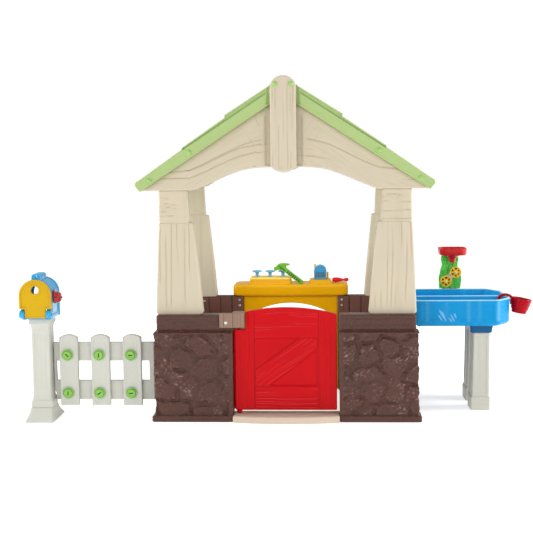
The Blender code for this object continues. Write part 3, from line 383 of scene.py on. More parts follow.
def glints(across, along, seed):
    """Small painted glints and glint streaks in patches on the stones, as negative marks."""
    patch = ease(ripple(across / 0.05, along / 0.04, seed + 80, 2), -0.25, 0.30)
    crests = ease(ripple(across / 0.0065, along / 0.0050, seed + 90, 2), 0.26, 0.60)
    slanted = across * 0.8 + along * 0.6
    glint_streaks = ease(ripple(slanted / 0.030, (along * 0.8 - across * 0.6) / 0.0060, seed + 95, 2), 0.40, 0.70)
    return -0.6 * patch * np.maximum(0.8 * crests, glint_streaks)


def grain(across, along, seed, pitch=0.016, wander=0.008, run=0.16, width=0.0011):
    """Carved grain lines that run along the second direction: depth between 0 and 1."""
    shifted = across + wander * ripple(across / 0.05, along / run, seed, 2)
    lane = shifted / pitch
    index = np.floor(lane).astype(int)
    own = np.random.RandomState(seed + 5).rand(64, 2)
    depth = np.zeros(np.shape(across))
    for step in (-1, 0, 1):
        pick = own[(index + step) % 64]
        centre = (index + step + 0.2 + 0.6 * pick[..., 0]) * pitch
        presence = ease(value_noise(along / (run * 0.8) + pick[..., 1] * 50, centre / pitch, seed + 9),
                        0.38, 0.62)
        depth = np.maximum(depth, presence * crest(shifted - centre, width))
    return depth


def make(name, verts, faces, material, body, replaced=(), sharp=None, marks=None):
    """A closed smooth mesh, riding on its body.

    marks from 0 to 1 blend each vertex towards its material's line colour, for carved lines, painted shade
    and some painted highlights; marks below 0 blend it towards a painted highlight.
    Its one material slot holds the given material.
    """
    mesh = bpy.data.meshes.new(name)
    mesh.from_pydata([tuple(map(float, vert)) for vert in verts], [], faces)
    if marks is not None:
        layer = mesh.attributes.new("lines_and_painted_light", "FLOAT", "POINT")
        layer.data.foreach_set("value", np.clip(marks, -1.0, 1.0).astype(np.float32))
    bm = bmesh.new()
    bm.from_mesh(mesh)
    bmesh.ops.remove_doubles(bm, verts=bm.verts, dist=0.00002)
    bmesh.ops.dissolve_degenerate(bm, edges=bm.edges, dist=0.00001)
    bmesh.ops.recalc_face_normals(bm, faces=bm.faces)
    bm.to_mesh(mesh)
    bm.free()
    mesh.shade_smooth()
    if sharp:
        mesh.set_sharp_from_angle(angle=math.radians(sharp))
    mesh.materials.append(material)
    obj = bpy.data.objects.new(name, mesh)
    bpy.context.scene.collection.objects.link(obj)
    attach(obj, body)
    if replaced:
        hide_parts(*replaced)
    return obj


def arc(centre, radius, start, end, steps):
    angles = np.radians(np.linspace(start, end, steps + 1))
    return [(centre[0] + radius * math.cos(a), centre[1] + radius * math.sin(a)) for a in angles]


def bow(half, rise):
    """Radius of an arc that spans twice half and rises by rise, and half its sweep in degrees."""
    radius = (half * half + rise * rise) / (2 * rise)
    return radius, math.degrees(math.asin(half / radius))


def fillet(points, radius, steps=5):
    """Rounds the corners of an outline. radius is one number or one for each corner."""
    rounded = []
    count = len(points)
    for index in range(count):
        here = Vector(points[index])
        before = Vector(points[index - 1]) - here
        after = Vector(points[(index + 1) % count]) - here
        size = radius[index] if isinstance(radius, (list, tuple)) else radius
        half = before.angle(after) / 2
        reach = min(size / math.tan(half), before.length * 0.49, after.length * 0.49)
        if size <= 0 or half > math.radians(88):
            rounded.append(tuple(here))
            continue
        start, end = here + before.normalized() * reach, here + after.normalized() * reach
        for step in range(steps + 1):
            share = step / steps
            rounded.append(tuple(start.lerp(here, share).lerp(here.lerp(end, share), share)))
    return rounded


def resample(points, step):
    """An outline with no gap longer than step, keeping its own points."""
    dense = []
    for index, here in enumerate(points):
        after = points[(index + 1) % len(points)]
        gap = math.dist(here, after)
        if gap < 1e-7:
            continue
        pieces = max(1, math.ceil(gap / step))
        for piece in range(pieces):
            share = piece / pieces
            dense.append((here[0] + (after[0] - here[0]) * share, here[1] + (after[1] - here[1]) * share))
    return np.array(dense)


def offset(loop, amount):
    """A dense loop, anticlockwise round the material, moved into the material."""
    forward = np.roll(loop, -1, 0) - loop
    forward /= np.maximum(np.linalg.norm(forward, axis=1, keepdims=True), 1e-9)
    backward = np.roll(forward, 1, 0)
    normal = np.stack([-(forward + backward)[:, 1], (forward + backward)[:, 0]], 1)
    length = np.maximum(np.linalg.norm(normal, axis=1, keepdims=True), 0.4)
    stretch = 2.0 / length
    normal = normal / length
    return loop + normal * np.minimum(stretch, 1.6) * np.reshape(amount, (-1, 1))


def signed_area(loop):
    following = np.roll(loop, -1, 0)
    return 0.5 * float(np.sum(loop[:, 0] * following[:, 1] - following[:, 0] * loop[:, 1]))


def inside(points, loops):
    hit = np.zeros(len(points), bool)
    for loop in loops:
        following = np.roll(loop, -1, 0)
        for start, end in zip(loop, following):
            if start[1] == end[1]:
                continue
            spans = (start[1] > points[:, 1]) != (end[1] > points[:, 1])
            cross = start[0] + (points[:, 1] - start[1]) * (end[0] - start[0]) / (end[1] - start[1])
            hit ^= spans & (points[:, 0] < cross)
    return hit


def clear_of(points, loops, distance):
    far = np.ones(len(points), bool)
    for loop in loops:
        for chunk in range(0, len(loop), 64):
            part = loop[chunk:chunk + 64]
            gaps = np.abs(points[:, None, :] - part[None, :, :])
            far &= np.min(gaps[..., 0] ** 2 + gaps[..., 1] ** 2, axis=1) > distance ** 2
    return far


def depth_and_marks(result):
    """A relief gives its depth, or its depth and its marks."""
    return result if isinstance(result, tuple) else (result, np.zeros(np.shape(result)))


class Shell:
    """Gathers vertices and faces.

    place turns (u, v, w) into a point, w being the depth behind the front face.
    """

    def __init__(self, place):
        self.place = place
        self.verts = []
        self.faces = []
        self.marks = []

    def add(self, flat, depth, marks=0.0):
        start = len(self.verts)
        depth = np.broadcast_to(depth, len(flat))
        for (across, along), deep in zip(flat, depth):
            self.verts.append(self.place(across, along, deep))
        self.marks += list(np.broadcast_to(marks, len(flat)))
        return list(range(start, len(self.verts)))

    def bridge(self, first, second):
        count = len(first)
        for index in range(count):
            following = (index + 1) % count
            self.faces.append((first[index], first[following], second[following], second[index]))

    def chain(self, loop, ids, steps):
        """Walks a loop through (inset, depth) steps and returns the last ring."""
        for amount, depth, *marks in steps:
            ring = self.add(offset(loop, amount), depth, *marks)
            self.bridge(ids, ring)
            ids = ring
        return ids

    def cap(self, loops, ids, step=None, relief=None, depth=0.0, direction=1):
        """Fills between loops that are already vertices, with grid points inside where a relief is wanted."""
        border = np.concatenate(loops)
        border_ids = [number for ring in ids for number in ring]
        edges = []
        start = 0
        for loop in loops:
            count = len(loop)
            edges += [(start + index, start + (index + 1) % count) for index in range(count)]
            start += count
        points = border
        if relief is not None:
            low, high = border.min(0), border.max(0)
            grid_u, grid_v = np.meshgrid(np.arange(low[0] + step / 2, high[0], step),
                                         np.arange(low[1] + step / 2, high[1], step))
            inner = np.stack([grid_u.ravel(), grid_v.ravel()], 1)
            inner = inner[inside(inner, loops)]
            inner = inner[clear_of(inner, loops, step * 0.6)]
            carved, marks = depth_and_marks(relief(inner[:, 0], inner[:, 1]))
            border_ids += self.add(inner, depth + direction * carved, marks)
            points = np.concatenate([border, inner])
        result = delaunay_2d_cdt([Vector(point) for point in points], edges, [], 0, 1e-7)
        flat = np.array([tuple(point) for point in result[0]])
        origin = [min(group) if group else None for group in result[3]]
        triangles = np.array(result[2])
        centres = flat[triangles].mean(1)
        for triangle, keep in zip(triangles, inside(centres, loops)):
            if keep and all(origin[corner] is not None for corner in triangle):
                self.faces.append(tuple(border_ids[origin[corner]] for corner in triangle))


def rounding(radius, thickness, steps=4):
    """(inset, depth) from the front face's rim, over the side, to the back face's rim."""
    chain = []
    for step in range(1, steps + 1):
        angle = math.pi / 2 * step / steps
        chain.append((radius * (1 - math.sin(angle)), radius * (1 - math.cos(angle))))
    for step in range(steps, -1, -1):
        angle = math.pi / 2 * step / steps
        chain.append((radius * (1 - math.sin(angle)), thickness - radius * (1 - math.cos(angle))))
    return chain


def upright(front, sign=1):
    """Plate in X and Z. sign is 1 where its front face looks towards -Y."""
    return lambda across, along, deep: (across, front + sign * deep, along)


def outwards(word, front, back):
    """Plate on the front or the back of the house, with its front face outwards."""
    return upright(front, 1) if word == "front" else upright(back, -1)


def level(top):
    return lambda across, along, deep: (across, along, top - deep)


def marked(value):
    """A relief without depth that marks a whole face alike."""
    return lambda across, along: (0.0 * across, 0.0 * across + value)


def plate(name, outlines, place, thickness, radius, material, body=HOUSE, replaced=(), step=0.004,
          relief=None, back=None, side=None, sharp=None):
    """A plate with rounded edges, holes and reliefs on its front, back and sides.

    relief and back get (across, along); side gets (across, along, depth) and works on the outer edge.
    """
    shell = Shell(place)
    fine = relief is not None or back is not None or side is not None
    loops = []
    for number, outline in enumerate(outlines):
        loop = resample(outline, step if fine else max(step, 0.01))
        if (signed_area(loop) > 0) != (number == 0):
            loop = loop[::-1]
        loops.append(loop)
    fronts = [offset(loop, radius) for loop in loops]
    front_ids = [shell.add(loop, 0.0) for loop in fronts]
    shell.cap(fronts, front_ids, step, relief)
    back_ids = []
    for number, (loop, ids) in enumerate(zip(loops, front_ids)):
        steps = rounding(radius, thickness)
        if side is not None and number == 0:
            half = len(steps) // 2
            depths = np.linspace(radius, thickness - radius, max(2, math.ceil(thickness / step)))
            across, along = loop[:, 0], loop[:, 1]
            walls = []
            for depth in depths:
                carved, marks = depth_and_marks(side(across, along, np.full(len(loop), depth)))
                walls.append((carved, depth, marks))
            steps = steps[:half - 1] + walls + steps[half + 1:]
        back_ids.append(shell.chain(loop, ids, steps))
    shell.cap(fronts, back_ids, step, back, thickness, -1)
    return make(name, shell.verts, shell.faces, material, body, replaced, sharp, shell.marks)


def section(left, right, front, back, corner, corner_steps, wide, deep):
    """Points and outward normals round a rectangle with rounded corners, front left corner first."""
    centres = ((left + corner, front + corner), (right - corner, front + corner),
               (right - corner, back - corner), (left + corner, back - corner))
    points, normals = [], []
    for number, (centre, start) in enumerate(zip(centres, (180, 270, 0, 90))):
        for angle in np.radians(np.linspace(start, start + 90, corner_steps + 1)):
            normals.append((math.cos(angle), math.sin(angle)))
            points.append((centre[0] + corner * normals[-1][0], centre[1] + corner * normals[-1][1]))
        following = centres[(number + 1) % 4]
        last = points[-1]
        goal = (following[0] + corner * normals[-1][0], following[1] + corner * normals[-1][1])
        cells = (wide, deep)[number % 2]
        for cell in range(1, cells):
            share = cell / cells
            points.append((last[0] + (goal[0] - last[0]) * share, last[1] + (goal[1] - last[1]) * share))
            normals.append(normals[-1])
    return np.array(points), np.array(normals)


def block(name, levels, material, body=HOUSE, replaced=(), corner=0.008, step=0.004, relief=None,
          corner_steps=4, rise=None, sharp=None):
    """A post or wall on a rectangular section that changes with height, with a relief cut into its sides.

    levels: (z, left, right, front, back). relief gets the points, heights and normals and gives the depth.
    """
    table = np.array(levels)
    rise = rise or step
    heights = []
    for low, high in zip(table[:-1, 0], table[1:, 0]):
        heights += list(np.linspace(low, high, max(1, math.ceil((high - low) / rise)), endpoint=False))
    heights.append(table[-1, 0])
    wide = int(max(2, math.ceil((table[:, 2] - table[:, 1]).max() / step)))
    deep = int(max(2, math.ceil((table[:, 4] - table[:, 3]).max() / step)))
    all_points, all_normals = [], []
    for height in heights:
        left, right, front, back = (np.interp(height, table[:, 0], table[:, column])
                                    for column in (1, 2, 3, 4))
        points, normals = section(left, right, front, back, corner, corner_steps, wide, deep)
        all_points.append(points)
        all_normals.append(normals)
    count = len(all_points[0])
    points, normals = np.concatenate(all_points), np.concatenate(all_normals)
    tall = np.repeat(heights, count)
    marks = None
    if relief is not None:
        carved, marks = depth_and_marks(relief(points, tall, normals))
        points = points - normals * carved[:, None]
    verts = np.column_stack([points, tall])
    faces = []
    for ring in range(len(heights) - 1):
        start = ring * count
        for index in range(count):
            following = (index + 1) % count
            faces.append((start + index, start + following, start + count + following, start + count + index))
    faces.append(tuple(range(count))[::-1])
    faces.append(tuple(range((len(heights) - 1) * count, len(heights) * count)))
    return make(name, verts, faces, material, body, replaced, sharp, marks)


def rounded_levels(bottom, top, left, right, front, back, radius, steps=4):
    """Levels of a box with rounded top and bottom edges."""
    levels = []

    def ring(height, amount):
        levels.append((height, left + amount, right - amount, front + amount, back - amount))
    for step in range(steps + 1):
        angle = math.pi / 2 * step / steps
        ring(bottom + radius * (1 - math.cos(angle)), radius * (1 - math.sin(angle)))
    for step in range(steps, -1, -1):
        angle = math.pi / 2 * step / steps
        ring(top - radius * (1 - math.cos(angle)), radius * (1 - math.sin(angle)))
    return levels


AXES = {"X": Matrix.Rotation(math.radians(90), 3, "Y"), "Y": Matrix.Rotation(math.radians(90), 3, "X"),
        "Z": Matrix.Identity(3), "-Y": Matrix.Rotation(math.radians(-90), 3, "X")}


def lathe(name, profile, axis, centre, material, body=HOUSE, replaced=(), steps=48, closed=False, wave=None,
          sharp=40, turn=None):
    """A turned piece. wave(angle, radius, along) scales the radius, for flutes and lobes."""
    matrix = turn if turn is not None else AXES[axis]
    verts, faces = [], []
    count = len(profile)
    for step in range(steps):
        angle = 2 * math.pi * step / steps
        for radius, along in profile:
            reach = radius * (wave(angle, radius, along) if wave else 1.0)
            point = matrix @ Vector((reach * math.cos(angle), reach * math.sin(angle), along))
            verts.append(tuple(Vector(centre) + point))
    for step in range(steps):
        following = (step + 1) % steps
        for index in range(count if closed else count - 1):
            after = (index + 1) % count
            faces.append((step * count + index, following * count + index, following * count + after,
                          step * count + after))
    return make(name, verts, faces, material, body, replaced, sharp)


def carve(obj, tool):
    """Cuts another piece out of this one. The other piece is used up."""
    step = obj.modifiers.new("carve", "BOOLEAN")
    step.operation = "DIFFERENCE"
    step.solver = "EXACT"
    step.object = tool
    graph = bpy.context.evaluated_depsgraph_get()
    mesh = bpy.data.meshes.new_from_object(obj.evaluated_get(graph))
    obj.modifiers.clear()
    old = obj.data
    obj.data = mesh
    bpy.data.meshes.remove(old)
    bpy.data.objects.remove(tool)
    mesh.shade_smooth()
    mesh.set_sharp_from_angle(angle=math.radians(40))
    while len(mesh.materials) > 1:
        mesh.materials.pop()


def slab_box(name, low, high, radius, material, body=HOUSE, replaced=(), steps=4):
    """A box with all its edges rounded."""
    levels = rounded_levels(low[2], high[2], low[0], high[0], low[1], high[1], radius, steps)
    return block(name, levels, material, body, replaced, radius, 0.02, None, steps, sharp=60)


# Named dimensions that the frame's boxes don't give -------------------------------------------------------
DOORWAY = 0.2136                # half the doorway's width
WALL_HALF, LEDGE_HALF, CAP_HALF = 0.532, 0.5405, 0.5185
WALL_THICK = 0.09
LEDGE_TOP, STONE_TOP, CAP_BOTTOM, CAP_TOP = 0.025, 0.363, 0.372, 0.430
GAP = 0.0003
RIDGE_LOW, ROOF_SLOPE, DECK_LIFT = 1.2946, 0.648, 0.025
FASCIA_THICK = 0.03
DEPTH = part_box("back_left_wall")[1].y
KING_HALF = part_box("front_king_post")[1].x


def roof_line(across):
    return RIDGE_LOW - ROOF_SLOPE * across


# Walls ----------------------------------------------------------------------------------------------------
STONE_DEPTH = 0.0125            # from the highest stones to the joints
CAP_LINE_DEPTH = 0.0022
PLANK_PITCH = 0.052


def planks(across):
    """Depth of the joints between upright planks."""
    return 0.0035 * crest(np.mod(across, PLANK_PITCH) - PLANK_PITCH / 2, 0.0022)


def cap_grain(height, along, seed):
    return (CAP_LINE_DEPTH * grain(height, along, seed, 0.0105, 0.0045, 0.22, 0.0013)
            * ease(height, CAP_BOTTOM, CAP_BOTTOM + 0.006))


def stone_band(height):
    return between(height, LEDGE_TOP - 0.001, LEDGE_TOP + 0.010, STONE_TOP - 0.014, STONE_TOP - 0.002)


def wall(word, side):
    name = "%s_%s_wall" % (word, hand(side))
    low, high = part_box(name)
    outward = -1 if word == "front" else 1
    face = low.y if outward < 0 else high.y
    inner_face = high.y if outward < 0 else low.y
    seed = 11 + 7 * side + (20 if outward > 0 else 0)

    def ring(height, outer, recess):
        left, right = sorted((side * DOORWAY, side * outer))
        return (height, left, right) + tuple(sorted((face - outward * recess, inner_face)))
    levels = [ring(0.0, LEDGE_HALF - 0.003, 0.003), ring(0.003, LEDGE_HALF, 0.0),
              ring(LEDGE_TOP - 0.005, LEDGE_HALF, 0.0), ring(LEDGE_TOP - 0.001, LEDGE_HALF - 0.003, 0.001),
              ring(LEDGE_TOP, WALL_HALF, 0.004), ring(STONE_TOP - 0.006, WALL_HALF, 0.004),
              ring(STONE_TOP - 0.002, WALL_HALF - 0.002, 0.007), ring(STONE_TOP, WALL_HALF - 0.005, 0.012),
              ring(STONE_TOP + 0.002, CAP_HALF - 0.003, 0.022),
              ring(CAP_BOTTOM - 0.002, CAP_HALF - 0.003, 0.022), ring(CAP_BOTTOM, CAP_HALF, 0.0185),
              ring(CAP_TOP - 0.006, CAP_HALF, 0.018), ring(CAP_TOP - 0.002, CAP_HALF - 0.0012, 0.0192),
              ring(CAP_TOP - 0.0005, CAP_HALF - 0.0035, 0.0215), ring(CAP_TOP, CAP_HALF - 0.006, 0.024)]

    def relief(points, height, normals):
        facing, end = outward * normals[:, 1], side * normals[:, 0]
        outside = ease(facing + end, 0.35, 0.9) * (facing > -0.3)
        along = points[:, 0] + (points[:, 1] - face) * -outward * normals[:, 0]
        clear = ease(np.abs(points[:, 0]) - DOORWAY, 0.009, 0.026)
        rough = stones(along * side + 0.37 * outward, height + 0.006, seed)
        stone = outside * clear * stone_band(height)
        depth = STONE_DEPTH * stone * rough
        strip = crest(np.abs(points[:, 0]) - DOORWAY - 0.0095, 0.0018) * (facing > 0.5)
        depth = depth + 0.0022 * strip
        cap_lines = outside * clear * cap_grain(height, along, seed)
        depth = depth + cap_lines
        inside_face = ease(-facing, 0.6, 0.95) * ease(CAP_HALF - np.abs(points[:, 0]), 0.0, 0.01)
        boards = inside_face * planks(np.abs(points[:, 0]) - 0.24)
        depth = depth + boards
        speckled = inside_face * fall(np.abs(points[:, 0]), DOORWAY + 0.030, DOORWAY + 0.038)
        depth = (depth + 0.0012 * speckled
                 * (0.5 + 0.5 * ripple(points[:, 0] / 0.006, height / 0.006, seed + 3, 1)))
        depth = (depth + inside_face * 0.0007 * grain(points[:, 0], height, seed + 2, 0.009, 0.003, 0.15,
                                                      0.0012))
        joints_and_painted_light = stone * ease(rough, 0.65, 1.05)
        # Painted glints on the stones.
        bright = stone * fall(rough, 0.5, 0.7) * glints(along * side + 0.37 * outward, height, seed)
        # A painted shadow line over the groove along the ledge's top, and a fainter line across its middle.
        ledge = outside * crest(height - LEDGE_TOP - 0.003, 0.0022)
        ledge = ledge + 0.35 * outside * crest(height - 0.5 * LEDGE_TOP, 0.0016)
        depth = depth + 0.0035 * ledge
        joints_and_painted_light = joints_and_painted_light + 2.0 * ledge
        return depth, bright + 0.30 * joints_and_painted_light + 0.6 * cap_lines / CAP_LINE_DEPTH + boards / 0.005
    shell = block(name + "_shell", levels, BROWN, replaced=[name], step=0.0036, relief=relief)
    # Inward faces take the lighter copy: painted light.
    shell.data.materials.append(REVEAL_PAINTED_LIGHTER)
    for polygon in shell.data.polygons:
        inwards = -side * polygon.normal.x > 0.6 and abs(polygon.center.x) < DOORWAY + 0.02
        polygon.material_index = int(inwards or -outward * polygon.normal.y > 0.75)


def side_wall(side):
    name = "%s_side_wall" % hand(side)
    low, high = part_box(name)
    seed = 31 + 5 * side
    outer, inner = (low.x, high.x) if side < 0 else (high.x, low.x)

    def ring(height, inset):
        left, right = sorted((outer - side * inset, inner))
        return height, left, right, low.y, high.y
    levels = [ring(0.0, 0.0), ring(STONE_TOP - 0.006, 0.0), ring(STONE_TOP, 0.005),
              ring(STONE_TOP + 0.002, 0.010), ring(CAP_BOTTOM - 0.002, 0.010), ring(CAP_BOTTOM, 0.0045),
              ring(CAP_TOP - 0.005, 0.0045), ring(CAP_TOP, 0.008)]

    def relief(points, height, normals):
        outside = ease(side * normals[:, 0], 0.5, 0.95)
        within = ease(-side * normals[:, 0], 0.5, 0.95)
        along = points[:, 1]
        low_band = ease(height, 0.002, 0.010)
        rough = stones(along + 0.21 * side, height + 0.006, seed)
        depth = STONE_DEPTH * outside * low_band * fall(height, STONE_TOP - 0.014, STONE_TOP - 0.002) * rough
        cap_lines = outside * cap_grain(height, along, seed)
        inner_lines = (within * (planks(along) + 0.0007 * grain(along, height, seed + 2, 0.009, 0.003, 0.15,
                                                                0.0012)))
        stone = outside * low_band * (height < STONE_TOP)
        # Dark joints and painted glints on the stones.
        joints_and_painted_light = (0.30 * stone * ease(rough, 0.65, 1.05) + stone * fall(rough, 0.5, 0.7)
                  * glints(along, height, seed))
        return depth + cap_lines + inner_lines, joints_and_painted_light + 320 * cap_lines + within * planks(along) / 0.005
    block(name + "_shell", levels, BROWN, replaced=[name], corner=0.003, step=0.004, relief=relief)


def screw_head(name, place, axis="Y", radius=0.0055):
    profile = [(0.0, 0.0022), (0.0016, 0.0022), (0.0019, 0.0030), (radius * 0.62, 0.0031),
               (radius * 0.9, 0.0018), (radius, 0.0), (radius * 0.8, -0.0015), (0.0, -0.0015)]
    lathe(name, profile, axis, place, METAL, steps=24)


# Pillars and gables ---------------------------------------------------------------------------------------
PILLAR_FOOT, PILLAR_STEP = 0.4303, 0.80


def pillar(word, side):
    name = "%s_%s_pillar" % (word, hand(side))
    low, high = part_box(name)
    outward = -1 if word == "front" else 1
    seed = 51 + 9 * side + outward
    widths = [(PILLAR_FOOT, 0.339, 0.5135), (PILLAR_FOOT + 0.003, 0.3345, 0.518),
              (PILLAR_FOOT + 0.009, 0.331, 0.5212), (0.57, 0.342, 0.5168),
              (PILLAR_STEP - 0.006, 0.3655, 0.5052), (PILLAR_STEP - 0.0015, 0.368, 0.503),
              (PILLAR_STEP, 0.377, 0.500), (PILLAR_STEP + 0.0015, 0.381, 0.5015),
              (PILLAR_STEP + 0.005, 0.3792, 0.5043), (high.z - 0.003, 0.3852, 0.5017),
              (high.z, 0.388, 0.499)]
    levels = []
    for height, inner, outer in widths:
        left, right = sorted((side * inner, side * outer))
        levels.append((height, left, right, low.y, high.y))

    def relief(points, height, normals):
        across = points[:, 0] + (points[:, 1] - low.y) * normals[:, 0]
        lower = fall(height, PILLAR_STEP - 0.004, PILLAR_STEP - 0.002)
        taper = 1 + 0.25 * (height - 0.43)
        upright_lines = grain((across - side * 0.43) * taper, height, seed, 0.021, 0.008, 0.22, 0.0019)
        cross_lines = grain(height, across, seed + 3, 0.017, 0.008, 0.07, 0.0018)
        seam = crest(height - PILLAR_STEP, 0.0022)
        margin = between(height, PILLAR_FOOT + 0.012, PILLAR_FOOT + 0.05, high.z - 0.02, high.z - 0.008)
        front = ease(outward * normals[:, 1], 0.2, 0.8)
        lines = margin * (lower * upright_lines + (1 - lower) * cross_lines) * (0.35 + 0.65 * front)
        wave = 0.0014 * (0.5 + 0.5 * ripple(across / 0.09, height / 0.22, seed + 8, 2))
        return 0.0019 * lines + 0.0022 * seam + wave * margin, 0.5 * lines
    block(name + "_shell", levels, BEIGE_UP, replaced=[name], step=0.0035, rise=0.0045, relief=relief)


ARCH = ((0.0, 1.017), (0.055, 1.0165), (0.114, 1.014), (0.1735, 1.004), (0.253, 0.974), (0.321, 0.945),
        (0.373, 0.928), (0.565, 0.928))


def arch_height(across):
    return np.interp(across, [point[0] for point in ARCH], [point[1] for point in ARCH])


def arch_lift(across, outward):
    """How much higher the back gable's arch is than the front one's."""
    return 0.018 * fall(across, 0.321, 0.373) * (outward > 0)


def gable(word, side):
    name = "%s_%s_gable" % (word, hand(side))
    low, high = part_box(name)
    outward = -1 if word == "front" else 1
    outer = max(abs(low.x), abs(high.x))
    lift = DECK_LIFT - GAP
    curve = [(outer, low.z)]
    spread = [(x, z) for x, z in reversed(ARCH) if x < outer]
    for (x0, z0), (x1, _) in zip(spread, spread[1:]):
        curve.append((x0, z0 + arch_lift(x0, outward)))
        middle = (x0 + x1) / 2
        curve.append((middle, float(smooth_arch(middle)) + arch_lift(middle, outward)))
    curve.append((GAP / 2, ARCH[0][1] + arch_lift(0.0, outward)))
    outline = [(GAP / 2, roof_line(0.0) + lift), (outer, roof_line(outer) + lift)] + curve
    seed = 71 + 3 * side + outward

    def relief(across, along):
        away = np.abs(across)
        rise = along - arch_height(away) - arch_lift(away, outward)
        board_top = 0.118 - 0.10 * away + 0.006 * ripple(away / 0.2, away * 0.0, seed + 1, 2)
        on_board = fall(rise, board_top - 0.004, board_top + 0.004)
        lines = on_board * grain(rise * (1 + 0.5 * away), away * 0.8, seed, 0.027, 0.010, 0.34, 0.0019)
        small = grain(rise + 0.3 * away, away, seed + 4, 0.013, 0.005, 0.07, 0.0012)
        fan = ((1 - on_board) * fall(away, 0.12, 0.17) * grain(away - 0.5 * along, along, seed + 6, 0.030,
                                                               0.012, 0.12, 0.0015))
        seam = crest(rise - board_top, 0.0017) * ease(away, KING_HALF + 0.032, KING_HALF + 0.05)
        roof_gap = roof_line(away) - along
        fade = ease(away, KING_HALF + 0.030, KING_HALF + 0.040) * ease(rise, 0.004, 0.010)
        strip = (fall(away, KING_HALF + 0.018, KING_HALF + 0.026)
                 * ease(roof_gap, 0.012 - 0.5 * away + 0.03, 0.05))
        upper = 0.0012 * (1 - on_board)
        depth = (fade * (0.0022 * lines + 0.0007 * small + 0.0013 * fan) + 0.0045 * strip
                 + 0.0012 * (1 - fade) * lines)
        marks = (0.3 + 0.7 * fade) * (0.75 * lines + 0.3 * small + 0.25 * fan + 0.65 * seam)
        # A painted shadow under the fascia's lower edge.
        marks = marks + 0.6 * crest(roof_gap, 0.005)
        return depth + 0.0016 * seam + upper, marks

    def calm(across, along):
        depth, marks = relief(across, along)
        return 0.4 * depth, 0.5 * marks
    plate(name + "_board", [[(side * x, z) for x, z in outline]], outwards(word, low.y, high.y),
          high.y - low.y, 0.005, BEIGE, replaced=[name], step=0.0034, relief=relief, back=calm)


def smooth_arch(across):
    """The arch's curve between its knots."""
    xs = np.array([point[0] for point in ARCH])
    zs = np.array([point[1] for point in ARCH])
    slopes = np.gradient(zs, xs)
    slopes[0] = slopes[-1] = 0.0
    slopes[-2] = 0.0
    index = int(np.clip(np.searchsorted(xs, across) - 1, 0, len(xs) - 2))
    width = xs[index + 1] - xs[index]
    t = (across - xs[index]) / width
    return ((2 * t ** 3 - 3 * t ** 2 + 1) * zs[index] + (t ** 3 - 2 * t ** 2 + t) * width * slopes[index]
            + (-2 * t ** 3 + 3 * t ** 2) * zs[index + 1] + (t ** 3 - t ** 2) * width * slopes[index + 1])


def king_post(word):
    name = word + "_king_post"
    low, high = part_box(name)
    shoulder_top, shoulder_bottom = 1.335, 1.020
    crown, drop = high.z - shoulder_top, shoulder_bottom - low.z
    top_radius, top_sweep = bow(KING_HALF, crown)
    bottom_radius, bottom_sweep = bow(KING_HALF, drop)
    outline = arc((0.0, shoulder_top + crown - top_radius), top_radius, 90 - top_sweep, 90 + top_sweep, 24)
    outline += arc((0.0, shoulder_bottom - drop + bottom_radius), bottom_radius, 270 - bottom_sweep,
                   270 + bottom_sweep, 20)

    def relief(across, along):
        lines = grain(across, along, 91, 0.0115, 0.006, 0.13, 0.0015)
        edge = ease(KING_HALF - np.abs(across), 0.004, 0.010) * ease(along, low.z + 0.006, low.z + 0.02)
        edge = edge * fall(along, high.z - 0.030, high.z - 0.012)
        swell = 0.0012 * (0.5 + 0.5 * ripple(across / 0.03, along / 0.14, 97, 2))
        return edge * (0.0014 * lines + swell), 0.42 * edge * lines
    plate(name + "_board", [outline], outwards(word, low.y, high.y), high.y - low.y, 0.006, BEIGE_UP,
          replaced=[name], step=0.0026, relief=relief)


# Roof -----------------------------------------------------------------------------------------------------
COURSES = ((0.570, roof_line(0.570)), (0.589, 0.949), (0.587, 0.961), (0.5665, 0.974), (0.402, 1.088),
           (0.3976, 1.097), (0.2306, 1.210), (0.2304, 1.2205), (0.0574, 1.330), (0.040, 1.345))
BAND = 0.0435                   # width of the fascia's flat band, square to the slope
ROOF_COS = 1 / math.hypot(1.0, ROOF_SLOPE)


def roof_fascia(word, side):
    notch = KING_HALF + GAP
    knee = 0.0574
    top = [(x, z) for x, z in COURSES[1:] if x > notch]
    top.append((notch, 1.345 - (1.345 - 1.330) * (notch - 0.040) / (knee - 0.040)))
    outline = [(notch, roof_line(notch)), COURSES[0]] + top
    outline = fillet(outline, [0.0, 0.003] + [0.004] * 2 + [0.001] * (len(top) - 2), 3)

    def relief(across, along):
        away = np.abs(across)
        height = (along - roof_line(away)) * ROOF_COS
        lines_and_painted_light = crest(height - BAND, 0.0016)
        upper = ease(height, BAND - 0.0005, BAND + 0.002) * ease(0.575 - away, 0.0, 0.02)
        kick = fall(away, notch + 0.010, notch + 0.022)
        lip = crest(height - BAND + 0.0035, 0.0018)
        texture = 0.0004 * ripple(away / 0.02, along / 0.02, 121, 2)
        depth = (0.0030 * lines_and_painted_light * (1 - kick) + 0.0045 * upper * (1 - kick)
                 + 0.008 * kick * ease(notch + 0.024 - away, 0, 0.02))
        # The groove's line is darkened and the set-back strip above it gets a little painted shade.
        return (np.clip(depth - 0.0006 * lip + 0.0008 + texture, 0.0, 0.02),
                (1 - kick) * (0.6 * lines_and_painted_light + 0.1 * upper))
    plate("%s_roof_fascia_%s" % (hand(side), word), [[(side * x, z) for x, z in outline]],
          outwards(word, 0.0, DEPTH), FASCIA_THICK, 0.0025, GREEN, step=0.0026, relief=relief)


